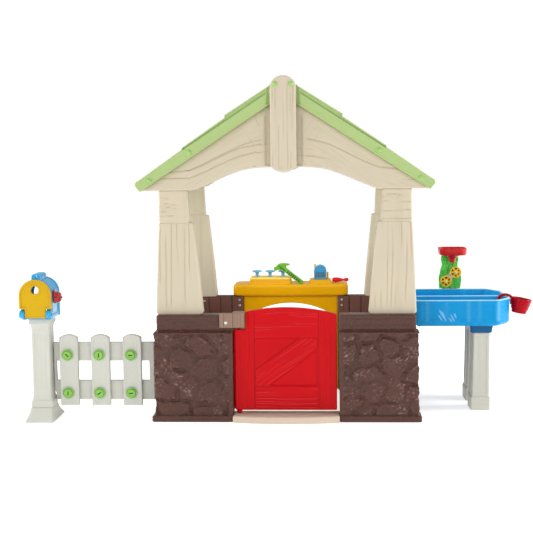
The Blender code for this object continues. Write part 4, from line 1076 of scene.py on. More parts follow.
def roof_deck(side):
    word = hand(side)
    deck = 0.566
    outline = ([(GAP / 2, RIDGE_LOW + DECK_LIFT), (deck, roof_line(deck) + DECK_LIFT),
                (deck, roof_line(deck) + 0.002), (0.570, roof_line(0.570) + 0.001)] + list(COURSES[1:])
               + [(GAP / 2, 1.350)])
    low_y, high_y = FASCIA_THICK + GAP, DEPTH - FASCIA_THICK - GAP
    steps = (0.0, 0.2304, 0.402, 0.60)

    def shingles(across, along, depth):
        away = np.abs(across)
        on_top = (ease((along - roof_line(away)) * ROOF_COS, DECK_LIFT + 0.004, DECK_LIFT + 0.007)
                  * ease(away, 0.03, 0.045))
        course = np.digitize(away, steps)
        pitch = 0.105
        shifted = depth + 0.055 * (course % 2) + 0.006 * np.sin(away * 9 + course)
        joint = crest(np.mod(shifted, pitch) - pitch / 2, 0.0022)
        lines = grain(depth, away, 131 + 7, 0.013, 0.006, 0.12, 0.0018)
        clear = between(depth, 0.006, 0.012, high_y - low_y - 0.012, high_y - low_y - 0.006)
        return (on_top * clear * (0.0032 * joint + 0.0012 * lines + 0.0004),
                on_top * clear * (0.8 * joint + 0.4 * lines))
    plate("%s_roof_deck" % word, [[(side * x, z) for x, z in outline]], upright(low_y, 1), high_y - low_y,
          0.0012, GREEN, replaced=["%s_roof_panel" % word], step=0.0055, side=shingles)


def dome_bolt(name, x, z, face, outward, replaced=()):
    profile = [(0.0, 0.0066), (0.003, 0.0064), (0.0062, 0.0054), (0.0088, 0.0036), (0.0104, 0.0016),
               (0.0115, 0.0002), (0.0115, -0.0006), (0.0045, -0.0006), (0.0045, -0.010), (0.0, -0.010)]
    axis = "Y" if outward < 0 else "-Y"
    lathe(name, profile, axis, (x, face, z), BOLT, replaced=replaced, steps=36)


def bolts():
    for word, side in SIDES:
        for order, (x, z) in enumerate(((0.3705, 1.077), (0.531, 0.967))):
            name = "%s_roof_bolt_%d" % (word, order + 1)
            dome_bolt(name + "_head", side * x, z, -GAP + 0.0012, -1, [name])
            dome_bolt(name + "_rear_head", side * x, z, DEPTH + GAP - 0.0012, 1)
        name = word + "_king_bolt"
        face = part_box("front_king_post")[0].y
        dome_bolt(name + "_head", side * 0.032, 1.337, face - GAP + 0.001, -1, [name])
        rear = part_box("back_king_post")[1].y
        dome_bolt(name + "_rear_head", side * 0.032, 1.337, rear + GAP - 0.007, 1)


# Threshold and door ---------------------------------------------------------------------------------------
HINGE = (-0.19, 0.05)


def threshold():
    low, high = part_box("threshold")
    half = high.x
    radius, sweep = bow(half, 0.022)
    outline = (arc((0.0, low.y + radius), radius, 270 - sweep, 270 + sweep, 30)
               + [(half, high.y), (-half, high.y)])
    pivot = arc(HINGE, 0.0065, 0, 345, 23)

    def relief(across, along):
        front = low.y + across ** 2 / (2 * radius)
        lane = np.abs(across) / 0.0365
        dimple = np.zeros(np.shape(across))
        for order in range(3):
            for side in (-1, 1):
                away = np.hypot((across - side * order * 0.0365) / 0.0085, (along - front - 0.009) / 0.005)
                dimple = np.maximum(dimple, fall(away, 0.35, 1.0))
        lines = (grain(along - 0.02 * lane, across, 141, 0.012, 0.004, 0.12, 0.0013)
                 * ease(along - front, 0.018, 0.026))
        # The dimples get painted shade; the grain lines are darkened.
        return 0.0038 * dimple + 0.0013 * lines, 0.8 * dimple + 0.6 * lines
    plate("threshold_step", [outline, pivot], level(high.z), high.z - low.z, 0.006, STEP_BEIGE,
          replaced=["threshold"], step=0.0032, relief=relief)


def triangle_depth(across, along, corners):
    """Distance inside a triangle, negative outside."""
    area = signed_area(np.array(corners))
    inner = np.full(np.shape(across), 9.0)
    for index in range(3):
        start, end = corners[index], corners[(index + 1) % 3]
        run = math.dist(start, end)
        away = ((end[0] - start[0]) * (along - start[1]) - (end[1] - start[1]) * (across - start[0])) / run
        inner = np.minimum(inner, away * math.copysign(1.0, area))
    return inner


def door():
    left, right, bottom, shoulder, crown = -0.2054, 0.2035, 0.042, 0.430, 0.457
    notch_x, notch_top = -0.162, 0.371
    half, middle, rise = (right - left) / 2, (left + right) / 2, crown - shoulder
    radius, start = bow(half, rise)
    end = math.degrees(math.asin((notch_x - middle) / radius))
    top = arc((middle, crown - radius), radius, 90 - start, 90 - end, 32)
    outline = [(left, bottom), (right, bottom)] + top + [(notch_x, notch_top), (left, notch_top)]
    outline = fillet(outline, [0.006, 0.005, 0.012] + [0.0] * (len(top) - 2) + [0.004, 0.002, 0.006], 4)
    panel, panel_low, panel_high = 0.125, 0.139, 0.336
    brace_low, brace_right = 0.200, 0.062
    upper = ((-panel, brace_low), (-panel, panel_high), (brace_right, panel_high))
    lower = ((panel, 0.293), (panel, panel_low), (-0.075, panel_low))
    lean = math.atan2(panel_high - brace_low, brace_right + panel)

    def relief(across, along):
        pocket = np.maximum(triangle_depth(across, along, upper), triangle_depth(across, along, lower))
        recess = ease(pocket, 0.0, 0.0045)
        edge = np.minimum(panel - np.abs(across), np.minimum(along - panel_low, panel_high - along))
        in_panel = edge > 0
        stile = np.abs(across) > panel
        rail_top, rail_low = (along > panel_high) & ~stile, (along < panel_low) & ~stile
        brace = in_panel & (pocket <= 0)
        turned = -across * math.sin(lean) + along * math.cos(lean)
        run = across * math.cos(lean) + along * math.sin(lean)
        brace_lines = brace * grain(turned, run, 151, 0.0105, 0.005, 0.10, 0.0016)
        stile_lines = stile * grain(across, along, 152, 0.012, 0.006, 0.14, 0.0017)
        rail_lines = rail_top * grain(along, across, 153, 0.0135, 0.011, 0.12, 0.0018)
        rail_lines = rail_lines + rail_low * grain(along, across, 154, 0.0125, 0.007, 0.13, 0.0018)
        # Painted highlights along the grain's upper edges.
        lit = brace * grain(turned + 0.0021, run, 151, 0.0105, 0.005, 0.10, 0.0016)
        lit = lit + rail_top * grain(along + 0.0022, across, 153, 0.0135, 0.011, 0.12, 0.0018)
        lit = lit + rail_low * grain(along + 0.0022, across, 154, 0.0125, 0.007, 0.13, 0.0018)
        lines = brace_lines + stile_lines + rail_lines
        border = crest(pocket, 0.0016) * brace
        joint = crest(np.abs(across - 0.002) - 0.1285, 0.0016)
        frame_joint = crest(edge, 0.0018) * (np.abs(across) < panel + 0.004) * (edge > -0.004)
        joint = np.maximum(joint, 0.8 * frame_joint)
        rim = np.minimum(np.minimum(across - left, right - across), along - bottom)
        inner = ease(rim, 0.003, 0.009)
        depth = 0.0062 * recess + 0.0010 * brace + 0.0019 * lines - 0.0008 * border + 0.0026 * joint
        # A painted highlight line just inside the brace's border.
        shifted = crest(pocket - 0.0035, 0.0016) * brace
        marks = 0.22 * lines - 0.34 * lit + 0.45 * joint - 0.75 * shifted
        return inner * (depth + 0.0012), inner * marks

    def rear(across, along):
        depth, marks = relief(across, along)
        return 0.6 * depth, 0.6 * marks
    low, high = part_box("door")
    plate("door_panel", [outline], upright(low.y, 1), high.y - low.y, 0.005, RED, "door_leaf", ["door"],
          0.0025, relief, back=rear)
    bead = arc(HINGE, 0.0226, 135, 225, 16)
    plate("door_edge_bead", [bead], level(notch_top - 0.004), notch_top - bottom - 0.008, 0.002, RED,
          "door_leaf")
    lathe("door_top_pin", [(0.0, 0.410), (0.0035, 0.4095), (0.005, 0.407), (0.005, 0.360), (0.0, 0.360)], "Z",
          HINGE + (0.0,), RED, "door_leaf", steps=24)
    foot = [(0.0, 0.052), (0.011, 0.052), (0.011, 0.033), (0.009, 0.0305), (0.0055, 0.0305), (0.0055, 0.018),
            (0.0045, 0.016), (0.0, 0.016)]
    lathe("door_foot_pin", foot, "Z", HINGE + (0.0,), RED, "door_leaf", steps=32)


def hinge_bracket():
    low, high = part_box("hinge_bracket")
    nose, strap_back = 0.0262, 0.0175
    outline = [(low.x, low.y), (HINGE[0] + nose, low.y)] + arc(HINGE, nose, 0, 152, 18)
    outline += [(-0.2131, strap_back), (low.x, strap_back)]
    outline = fillet(outline, [0.003, 0.004] + [0.0] * 19 + [0.002, 0.002], 3)
    hole = arc(HINGE, 0.0057, 0, 345, 23)

    def grooves(across, along, depth):
        front = ease(0.012 - along, 0.0, 0.004)
        lines = np.zeros(np.shape(across))
        for place, strength in ((-0.2455, 0.6), (-0.2095, 1.0), (-0.1785, 0.5)):
            lines = np.maximum(lines, strength * crest(across - place, 0.0013))
        wood = grain(across, depth, 161, 0.008, 0.004, 0.03, 0.0012)
        return front * (0.0020 * lines + 0.0006 * wood) + 0.0002, front * (0.9 * lines + 0.3 * wood)
    plate("hinge_bracket_strap", [outline, hole], level(high.z), high.z - low.z, 0.0025, TAUPE,
          replaced=["hinge_bracket"], step=0.0013, side=grooves)
    profile = [(0.0, 0.0018), (0.0018, 0.0018), (0.0022, 0.0028), (0.0042, 0.0026), (0.0060, 0.0012),
               (0.0065, 0.0), (0.005, -0.001), (0.0, -0.001)]
    lathe("bracket_screw_head", profile, "Y", (-0.237, low.y + 0.0002, 0.402), METAL,
          replaced=["bracket_screw"], steps=28)


# Workbench ------------------------------------------------------------------------------------------------
PEG_Y = 0.69
PEG_HOLE = 0.0085               # radius
VISE_X = 0.1345


def bore_for_pegs(piece, profile):
    for number in (1, 2, 3):
        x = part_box("peg_%d" % number)[0].x + 0.023
        carve(piece, lathe("hole", profile, "Z", (x, PEG_Y, 0.0), YELLOW, steps=32))


def bench_top():
    low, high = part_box("workbench_top")
    top = 0.482
    slab = block("workbench_slab", rounded_levels(low.z, top, low.x, high.x, low.y, high.y, 0.0125, 7),
                 YELLOW, replaced=["workbench_top"], corner=0.026, step=0.03, corner_steps=8, rise=0.02,
                 sharp=50)
    bore_for_pegs(slab, [(0.0, 0.40), (PEG_HOLE, 0.40), (PEG_HOLE, 0.55), (0.0, 0.55)])
    platform = block("peg_platform",
                     [(top - 0.001, -0.1900, 0.0055, 0.632, 0.750),
                      (0.488, -0.1885, 0.0040, 0.6335, 0.7485), (0.5045, -0.1850, 0.0005, 0.637, 0.745),
                      (0.5085, -0.1838, -0.0007, 0.638, 0.744), (0.5104, -0.1815, -0.0030, 0.6405, 0.7415),
                      (0.511, -0.1785, -0.0060, 0.6435, 0.7385)], YELLOW, corner=0.012, step=0.03,
                     corner_steps=6, rise=0.02, sharp=50)
    bore_for_pegs(platform, [(0.0, 0.47), (PEG_HOLE, 0.47), (PEG_HOLE, 0.5085), (0.0115, 0.5125),
                             (0.0115, 0.53), (0.0, 0.53)])
    # The platform's top and its upper rounded edge get the paler copy: a painted highlight.
    platform.data.materials.clear()
    platform.data.materials.append(YELLOW)
    platform.data.materials.append(PAINTED_LIT_YELLOW)
    for face in platform.data.polygons:
        face.material_index = int(face.center.z > 0.5047)
    block("vise_platform",
          [(top - 0.001, 0.082, 0.187, 0.640, 0.745), (0.4960, 0.0865, 0.1825, 0.6445, 0.7405),
           (0.4985, 0.0885, 0.1805, 0.6465, 0.7385), (0.4995, 0.0915, 0.1775, 0.6495, 0.7355)], YELLOW,
          corner=0.010, step=0.03, corner_steps=6, rise=0.02, sharp=50)
    slab_box("vise_guide_tall", (VISE_X - 0.028, 0.722, 0.497), (VISE_X - 0.020, 0.730, 0.564), 0.002, YELLOW)
    slab_box("vise_guide_low", (VISE_X + 0.0293, 0.675, 0.497), (VISE_X + 0.038, 0.705, 0.531), 0.0025,
             YELLOW)


def bench_panel():
    low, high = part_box("workbench_panel")
    legs, radius, crown = 0.165, 0.355, 0.397
    sweep = math.degrees(math.asin(legs / radius))
    opening = arc((0.0, crown - radius), radius, 90 - sweep, 90 + sweep, 36)
    left, right = low.x - 0.0025, high.x + 0.0025
    outline = [(-legs, low.z), (left, low.z), (left, high.z), (right, high.z), (right, low.z), (legs, low.z)]
    outline += opening

    def relief(across, along):
        away = np.abs(across)
        rib = crest(away - 0.188, 0.0022) * ease(along, 0.02, 0.03) * fall(along, 0.33, 0.34)
        arch = np.hypot(across, along - (crown - radius)) - radius
        band = crest(arch - 0.014, 0.0022) * ease(along, 0.32, 0.33) * (away < 0.18)
        return 0.0022 * np.maximum(rib, band)
    plate("workbench_panel_board", [outline], upright(low.y, 1), high.y - low.y, 0.005, YELLOW,
          replaced=["workbench_panel"], step=0.006, relief=relief, back=relief)


def peg(number):
    name = "peg_%d" % number
    low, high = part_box(name)
    profile = [(0.0, 0.0), (0.008, -0.0002), (0.0145, -0.0008), (0.0188, -0.0018), (0.0216, -0.0032),
               (0.0229, -0.0050), (0.0224, -0.0066), (0.0200, -0.0078), (0.0160, -0.0085), (0.0105, -0.0098),
               (0.0082, -0.0118), (0.0075, -0.0140), (0.0075, -0.029), (0.0079, -0.0305), (0.0079, -0.098),
               (0.0065, -0.0998), (0.0, -0.0998)]
    lathe(name + "_knob", profile, "Z", ((low.x + high.x) / 2, PEG_Y, high.z), PEG, name + "_body", [name],
          steps=40, sharp=60)


def vise_jaw():
    low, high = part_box("vise_jaw")
    half = (high.x - low.x) / 2
    crown = high.z - half
    outline = [(low.x, low.z), (high.x, low.z)] + arc((VISE_X, crown), half, 0, 180, 36)

    def relief(across, along):
        rim = (half - np.where(along > crown, np.hypot(across - VISE_X, along - crown),
                               np.abs(across - VISE_X)))
        ribs = ((0.5 - 0.5 * np.cos((along - low.z) * 2 * math.pi / 0.0068))
                * fall(along, crown - 0.008, crown - 0.006))
        field = ease(rim, 0.0045, 0.0065) * ease(along, low.z + 0.004, low.z + 0.006)
        crescent = ease(along, crown - 0.004, crown - 0.002)
        lower = field * (1 - crescent)
        # The lower field is painted greyer, with painted shade in the troughs between its ribs.
        return (field * (0.0022 + 0.0016 * ribs * (1 - crescent) - 0.0010 * crescent),
                0.30 * lower + 0.7 * lower * ribs)
    plate("vise_jaw_block", [outline], upright(low.y, 1), high.y - low.y, 0.003, VISE, "vise_jaw_body",
          ["vise_jaw"], 0.0011, relief, back=relief)


def hammer():
    outline = [(-0.076, 0.5415), (-0.0655, 0.5415), (-0.060, 0.5455), (-0.037, 0.5440), (0.043, 0.4835),
               (0.053, 0.4832), (0.0580, 0.488), (0.0575, 0.4975), (-0.018, 0.5525), (-0.022, 0.5605),
               (-0.018, 0.5655), (-0.0045, 0.5665), (-0.0045, 0.5735), (-0.030, 0.5765), (-0.050, 0.5745),
               (-0.062, 0.5655), (-0.067, 0.5595), (-0.076, 0.5575)]
    thickness, middle, front = 0.018, -0.01, PEG_Y - 0.041
    turn = Matrix.Translation((middle, front, 0)) @ Matrix.Rotation(math.radians(-13.5), 4, "Z")

    def place(across, along, deep):
        return tuple(turn @ Vector((across - middle, deep - thickness / 2, along)))
    grip_x, grip_z = -0.036, 0.5455
    lean = math.atan2(0.4835 - grip_z, 0.046 - grip_x)

    def relief(across, along):
        run = (across - grip_x) * math.cos(lean) + (along - grip_z) * math.sin(lean)
        rib = ((0.5 - 0.5 * np.cos(run * 2 * math.pi / 0.0105)) * ease(run, 0.022, 0.028)
               * fall(run, 0.096, 0.102))
        off = -(across - grip_x) * math.sin(lean) + (along - grip_z) * math.cos(lean)
        flute = crest(off - 0.0045, 0.0020) * ease(run, -0.030, -0.020) * fall(run, 0.014, 0.020)
        cheek = between(run, -0.020, -0.012, 0.006, 0.016) * crest(off - 0.001, 0.0075)
        # Painted shade in the grip's rib troughs; the flute and a band on the cheek are painted darker.
        return 0.0024 * rib + 0.0016 * flute, 1.4 * rib + 0.6 * flute + 0.45 * cheek
    plate("hammer_moulding", [fillet(outline, 0.004, 4)], place, thickness, 0.0030, HAMMER, "hammer_body",
          ["hammer"], 0.0013, relief, back=relief)


def screwdriver():
    low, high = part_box("screwdriver")
    length = high.x - low.x
    centre_y, centre_z = (low.y + high.y) / 2, (low.z + high.z) / 2
    profile = [(0.0, length), (0.0045, length - 0.0004), (0.0063, length - 0.002), (0.0080, length - 0.006),
               (0.0084, length - 0.010), (0.0075, 0.060), (0.0052, 0.055), (0.0045, 0.052), (0.0050, 0.047),
               (0.0075, 0.040), (0.0098, 0.033), (0.0110, 0.025), (0.0114, 0.018), (0.0109, 0.010),
               (0.0096, 0.005), (0.0070, 0.0015), (0.0040, 0.0003), (0.0, 0.0)]

    def flutes(angle, radius, along):
        grip = ease(0.042 - along, 0.0, 0.006) * ease(along, 0.004, 0.010)
        return 1 - 0.10 * grip * (0.5 + 0.5 * math.cos(angle * 6))
    lathe("screwdriver_moulding", profile, "X", (low.x, centre_y, centre_z), DRIVER, "screwdriver_body",
          ["screwdriver"], steps=60, wave=flutes, sharp=60)


# Mailbox and post -----------------------------------------------------------------------------------------
MAIL_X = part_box("mailbox_door")[0].x + 0.0652
MAIL_HALF, MAIL_SPRING = 0.0652, 0.516
MAIL_PIN_Y, MAIL_PIN_Z = -0.012, 0.440


def mailbox_post():
    low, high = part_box("mailbox_post")
    x, y = (low.x + high.x) / 2, (low.y + high.y) / 2
    sizes = [(0.0, 0.0575, 0.0955), (0.0015, 0.0590, 0.0975), (0.0065, 0.0588, 0.0965),
             (0.0080, 0.0572, 0.0945), (0.0140, 0.0552, 0.0860), (0.0210, 0.0528, 0.0760),
             (0.0300, 0.0500, 0.0650), (0.0400, 0.0482, 0.0560), (0.0490, 0.0468, 0.0500),
             (0.0510, 0.0448, 0.0440), (0.0530, 0.0455, 0.0445), (0.0770, 0.0455, 0.0445),
             (0.0790, 0.0448, 0.0438), (0.0805, 0.0425, 0.0415), (0.0860, 0.0418, 0.0408),
             (0.0890, 0.0408, 0.0398), (0.0950, 0.0392, 0.0382), (0.1020, 0.0385, 0.0375),
             (0.3740, 0.0385, 0.0375), (0.3800, 0.0392, 0.0382), (0.3860, 0.0405, 0.0395),
             (0.3880, 0.0422, 0.0412), (0.3925, 0.0426, 0.0416), (0.3940, 0.0450, 0.0440),
             (0.3960, 0.0462, 0.0452), (0.4150, 0.0465, 0.0455), (0.4177, 0.0450, 0.0440)]
    levels = [(height, x - half, x + half, y - half_depth, y + half_depth)
              for height, half, half_depth in sizes]

    def relief(points, height, normals):
        shaft = between(height, 0.125, 0.140, 0.352, 0.366)
        off_x, off_y = np.abs(points[:, 0] - x), np.abs(points[:, 1] - y)
        face_x = (np.abs(normals[:, 1]) > 0.9) * fall(off_x, 0.0245, 0.0275)
        face_y = (np.abs(normals[:, 0]) > 0.9) * fall(off_y, 0.0235, 0.0265)
        lines = grain(points[:, 0] + points[:, 1], height, 171, 0.013, 0.005, 0.14, 0.0013)
        panel = shaft * np.maximum(face_x, face_y)
        return 0.0016 * panel + 0.0007 * lines * (0.4 + 0.6 * shaft), 0.18 * lines * (0.4 + 0.6 * shaft)
    block("mailbox_post_moulding", levels, WHITE, replaced=["mailbox_post"], corner=0.0075, step=0.0028,
          relief=relief)


def mail_arch(half, bottom):
    return [(MAIL_X - half, bottom), (MAIL_X + half, bottom)] + arc((MAIL_X, MAIL_SPRING), half, 0, 180, 36)


def mailbox_body():
    floor, front, rear = 0.418, -0.003, 0.130
    outer_half = MAIL_HALF - 0.003
    outer = fillet(mail_arch(outer_half, floor), [0.010, 0.010] + [0.0] * 37, 5)
    inner = fillet(mail_arch(outer_half - 0.006, floor + 0.006), [0.006, 0.006] + [0.0] * 37, 5)

    def pressed(across, along, depth):
        side = (ease(np.abs(across - MAIL_X), 0.055, 0.060) * fall(along, 0.520, 0.530)
                * ease(along, 0.434, 0.440))
        panel = side * ease(depth, 0.020, 0.025) * fall(depth, 0.100, 0.105)
        ribs = crest(depth - 0.012, 0.0022) + crest(depth - 0.119, 0.0022)
        # The side panel gets a painted highlight; the ribs are darkened lines.
        return 0.0024 * panel + 0.0018 * ribs, 0.7 * ribs - 0.35 * panel
    shell = plate("mailbox_shell", [outer, inner], upright(front, 1), rear - front, 0.0022, MAIL_BLUE,
                  replaced=["mailbox_body"], step=0.0024, side=pressed)
    carve(shell, slab_box("tool", (MAIL_X - 0.0430, -0.05, 0.40), (MAIL_X + 0.0430, 0.007, 0.47), 0.003,
                          MAIL_BLUE))
    flange_outer = fillet(mail_arch(MAIL_HALF - 0.0005, floor), [0.010, 0.010] + [0.0] * 37, 5)
    flange_inner = fillet(mail_arch(0.041, floor + 0.012), [0.006, 0.006] + [0.0] * 37, 5)
    # The rear flange, in the box's shade, is painted lighter.
    plate("mailbox_rear_flange", [flange_outer, flange_inner], upright(0.1185, 1), 0.0100, 0.0022, MAIL_BLUE,
          step=0.0024, relief=marked(-1.0))
    for word, side in SIDES:
        near, far = sorted((MAIL_X + side * 0.0435, MAIL_X + side * 0.0610))
        slab_box("mailbox_corner_" + word, (near, front + 0.0005, 0.424), (far, 0.006, 0.472), 0.002,
                 MAIL_BLUE)
    for word, side in SIDES:
        profile = [(0.0062, -0.0105), (0.0130, -0.0105), (0.0150, -0.0097), (0.0163, -0.0078), (0.0166, 0.0),
                   (0.0163, 0.0078), (0.0150, 0.0097), (0.0130, 0.0105), (0.0062, 0.0105)]
        middle = MAIL_X + side * 0.0542
        lathe("mailbox_knuckle_" + word, profile, "X", (middle, MAIL_PIN_Y + 0.0005, MAIL_PIN_Z + 0.0010),
              MAIL_BLUE, steps=40, closed=True)
    low_z = MAIL_SPRING + math.sqrt(outer_half ** 2 - 0.0195 ** 2) - 0.0015
    lobe = [(low_z, 0.0195, -0.002, 0.106), (0.5885, 0.0190, -0.0015, 0.1055),
            (0.5940, 0.0182, -0.0002, 0.1045), (0.5975, 0.0165, 0.0022, 0.1020),
            (0.6000, 0.0128, 0.0062, 0.0980)]
    levels = [(height, MAIL_X - half, MAIL_X + half, near, far) for height, half, near, far in lobe]

    def lobes(points, height, normals):
        off = points[:, 0] - MAIL_X
        front_cleft = crest(off, 0.0042) * ease(-normals[:, 1], 0.3, 0.9)
        waist = crest(points[:, 1] - 0.030, 0.006) + crest(points[:, 1] - 0.076, 0.006)
        return 0.0040 * front_cleft + 0.0022 * waist * ease(np.abs(normals[:, 0]), 0.6, 0.95)
    block("mailbox_ridge", levels, MAIL_BLUE, corner=0.009, step=0.0022, relief=lobes, corner_steps=8,
          rise=0.0025, sharp=60)


def mailbox_door():
    body = "mailbox_door_body"
    tab, tab_bottom, shoulder = 0.0425, 0.426, 0.4626
    outline = [(MAIL_X - tab, tab_bottom), (MAIL_X + tab, tab_bottom), (MAIL_X + tab, shoulder),
               (MAIL_X + MAIL_HALF, shoulder)]
    outline += arc((MAIL_X, MAIL_SPRING), MAIL_HALF, 0, 180, 40)
    outline += [(MAIL_X - MAIL_HALF, shoulder), (MAIL_X - tab, shoulder)]
    outline = fillet(outline, [0.005, 0.005, 0.003, 0.006] + [0.0] * 41 + [0.006, 0.003], 5)
    hole_z = 0.5395
    hole = arc((MAIL_X, hole_z), 0.016, 0, 350, 35)

    def relief(across, along):
        off = across - MAIL_X
        above = np.hypot(off, along - MAIL_SPRING)
        rim = MAIL_HALF - np.where(along > MAIL_SPRING, above, np.abs(off))
        rim = np.minimum(rim, np.where(np.abs(off) < tab - 0.004, 1.0, along - shoulder))
        field = ease(rim, 0.0075, 0.0105)
        collar = np.hypot(off, along - hole_z)
        lift = fall(collar, 0.0205, 0.0225)
        edge = crest(rim - 0.0085, 0.0022) * (1 - lift)
        # Painted shade on the outer rounded edge; the line round the field is darkened.
        return 0.0026 * field * (1 - lift), 0.55 * edge + 0.6 * fall(rim, 0.001, 0.004)

    def inside_relief(across, along):
        depth, marks = relief(across, along)
        return 0.5 * depth, 0.5 * marks
    plate("mailbox_door_panel", [outline, hole], upright(-0.020, 1), 0.016, 0.0032, MAIL_YELLOW, body,
          ["mailbox_door"], 0.0018, relief, back=inside_relief)
    pin = [(0.0, -0.050), (0.0042, -0.050), (0.005, -0.0485), (0.005, 0.0485), (0.0042, 0.050), (0.0, 0.050)]
    lathe("mailbox_door_pin", pin, "X", (MAIL_X, MAIL_PIN_Y, MAIL_PIN_Z), MAIL_YELLOW, body, steps=28)


def mailbox_flag():
    low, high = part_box("mailbox_flag")
    body = "mailbox_flag_body"
    y, z = 0.045, 0.503
    face = low.x + 0.012
    profile = [(0.0, 0.0340), (0.0020, 0.0338), (0.0034, 0.0328), (0.0040, 0.0305), (0.0062, 0.0288),
               (0.0100, 0.0290), (0.0150, 0.0278), (0.0190, 0.0250), (0.0216, 0.0205), (0.0230, 0.0150),
               (0.0240, 0.0090), (0.0245, 0.0060), (0.0245, 0.0015), (0.0235, 0.0003), (0.0052, 0.0003),
               (0.0052, -0.0115), (0.0045, -0.0120), (0.0, -0.0120)]

    def lobed(angle, radius, along):
        band = ease(along, 0.0062, 0.0100) * ease(radius, 0.0045, 0.0090)
        return 1 - 0.16 * band * (0.5 + 0.5 * math.cos(angle * 6)) ** 2
    lathe("mailbox_flag_hub", profile, "X", (face, y, z), FLAG, body, ["mailbox_flag"], steps=72, wave=lobed,
          sharp=60)
    slab_box("mailbox_flag_arm", (face + 0.0005, y - 0.024, z), (face + 0.008, y - 0.010, high.z), 0.0025,
             FLAG, body)


# Fence ----------------------------------------------------------------------------------------------------
def fence_frame():
    low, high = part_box("fence_frame")
    shaft_edge, plinth_edge = low.x, -0.9512
    outline = [(plinth_edge, low.z), (high.x, low.z), (high.x, high.z), (shaft_edge, high.z),
               (shaft_edge, 0.116), (plinth_edge, 0.100)]
    window = fillet([(-0.9477, 0.1515), (-0.563, 0.1515), (-0.563, 0.233), (-0.9477, 0.233)], 0.004, 4)

    def relief(across, along):
        rails = np.where(along > 0.19, (along - 0.233) / (high.z - 0.233), (along - low.z) / (0.1515 - low.z))
        upright_lines = grain(across, along, 181, 0.0095, 0.003, 0.10, 0.0013)
        lengthwise = crest(rails - 0.12, 0.03) + crest(rails - 0.88, 0.03)
        return 0.0008 * upright_lines + 0.0010 * lengthwise, 0.18 * upright_lines + 0.25 * lengthwise
    plate("fence_rails", [outline, window], upright(low.y, 1), high.y - low.y, 0.0045, WHITE,
          replaced=["fence_frame"], step=0.0042, relief=relief, back=relief)


def picket(number):
    name = "picket_%d" % number
    low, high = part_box(name)
    middle, half = (low.x + high.x) / 2, (high.x - low.x) / 2
    radius, sweep = bow(half, 0.013)
    outline = [(low.x, low.z), (high.x, low.z)]
    outline += arc((middle, high.z - radius), radius, 90 - sweep, 90 + sweep, 20)
    outline = fillet(outline, [0.004, 0.004, 0.009] + [0.0] * 19 + [0.009], 5)

    def relief(across, along):
        off = across - middle
        edge = ease(half - np.abs(off), 0.006, 0.012) * ease(along, low.z + 0.008, low.z + 0.018)
        edge = edge * fall(along, high.z - 0.032, high.z - 0.018)
        lines = edge * grain(off, along, 190 + number, 0.012, 0.006, 0.12, 0.0014)
        return 0.0014 * edge + 0.0008 * lines + 0.0003, 0.15 * lines
    plate(name + "_board", [outline], upright(low.y, 1), high.y - low.y, 0.0048, WHITE, replaced=[name],
          step=0.0028, relief=relief, back=relief)


KNOB_ANGLES = {1: 90, 2: 135, 3: 40, 4: 92, 5: 4, 6: 176}


def fence_knob(number):
    name = "fence_knob_%d" % number
    low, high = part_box(name)
    x, z = (low.x + high.x) / 2, (low.z + high.z) / 2
    face = 0.0697 - GAP
    profile = [(0.0, 0.0120), (0.0100, 0.0120), (0.0112, 0.0124), (0.0120, 0.0140), (0.0132, 0.0146),
               (0.0150, 0.0143), (0.0160, 0.0130), (0.0166, 0.0112), (0.0168, 0.0088), (0.0172, 0.0074),
               (0.0182, 0.0070), (0.0212, 0.0074), (0.0224, 0.0066), (0.0230, 0.0050), (0.0230, 0.0010),
               (0.0222, 0.0), (0.0100, 0.0), (0.0100, -0.0430), (0.0085, -0.0445), (0.0, -0.0445)]

    def ribbed(angle, radius, along):
        rib = 1.0 if radius > 0.0205 and along > -0.001 else 0.0
        return 1 - 0.018 * rib * (0.5 + 0.5 * math.cos(angle * 16))
    head = lathe(name + "_cap", profile, "Y", (x, face, z), KNOB, name + "_body", [name], steps=96,
                 wave=ribbed, sharp=50)
    turn = Matrix.Translation((x, 0, z)) @ Matrix.Rotation(-math.radians(KNOB_ANGLES[number]), 4, "Y")
    back = Matrix.Translation((-x, 0, -z))
    slot = slab_box("tool", (x - 0.0085, face - 0.030, z - 0.0024), (x + 0.0085, face - 0.0078, z + 0.0024),
                    0.0010, KNOB)
    slot.data.transform(turn @ back)
    carve(head, slot)
    marks = head.data.attributes.new("lines_and_painted_light", "FLOAT", "POINT")
    ring = [math.hypot(vert.co.x - x, vert.co.z - z) for vert in head.data.vertices]
    deep = [vert.co.y > face - 0.0100 for vert in head.data.vertices]
    # Painted shade in the slot and in the crease round the dome.
    for index, (radius, sunk) in enumerate(zip(ring, deep)):
        in_slot = sunk and radius < 0.0092
        marks.data[index].value = 1.0 if in_slot else 0.35 if 0.0168 < radius < 0.0184 else 0.0


# Sand and water table -------------------------------------------------------------------------------------
TABLE_LOW, TABLE_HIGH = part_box("table_basin")
LEG_X = (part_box("table_front_leg")[0].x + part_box("table_front_leg")[1].x) / 2 + 0.001
BASIN_BOTTOM = 0.358
CUP_Y = 0.270


def basin_strokes(across, along, height):
    """Splash marks raised on the basin's front."""
    raised = np.zeros(np.shape(across))
    for x, z, length, lean in ((0.630, 0.412, 0.022, 0.5), (0.640, 0.402, 0.026, 0.35),
                               (0.626, 0.395, 0.016, 0.6), (0.676, 0.394, 0.020, 0.5),
                               (0.686, 0.404, 0.014, 0.35), (0.668, 0.386, 0.014, 0.6)):
        run = (across - x) * math.sin(lean) - (height - z) * math.cos(lean)
        off = (across - x) * math.cos(lean) + (height - z) * math.sin(lean)
        raised = np.maximum(raised, fall(np.abs(run) / length, 0.4, 1.0) * crest(off, 0.0022))
    return raised * (along < TABLE_LOW.y + 0.03)


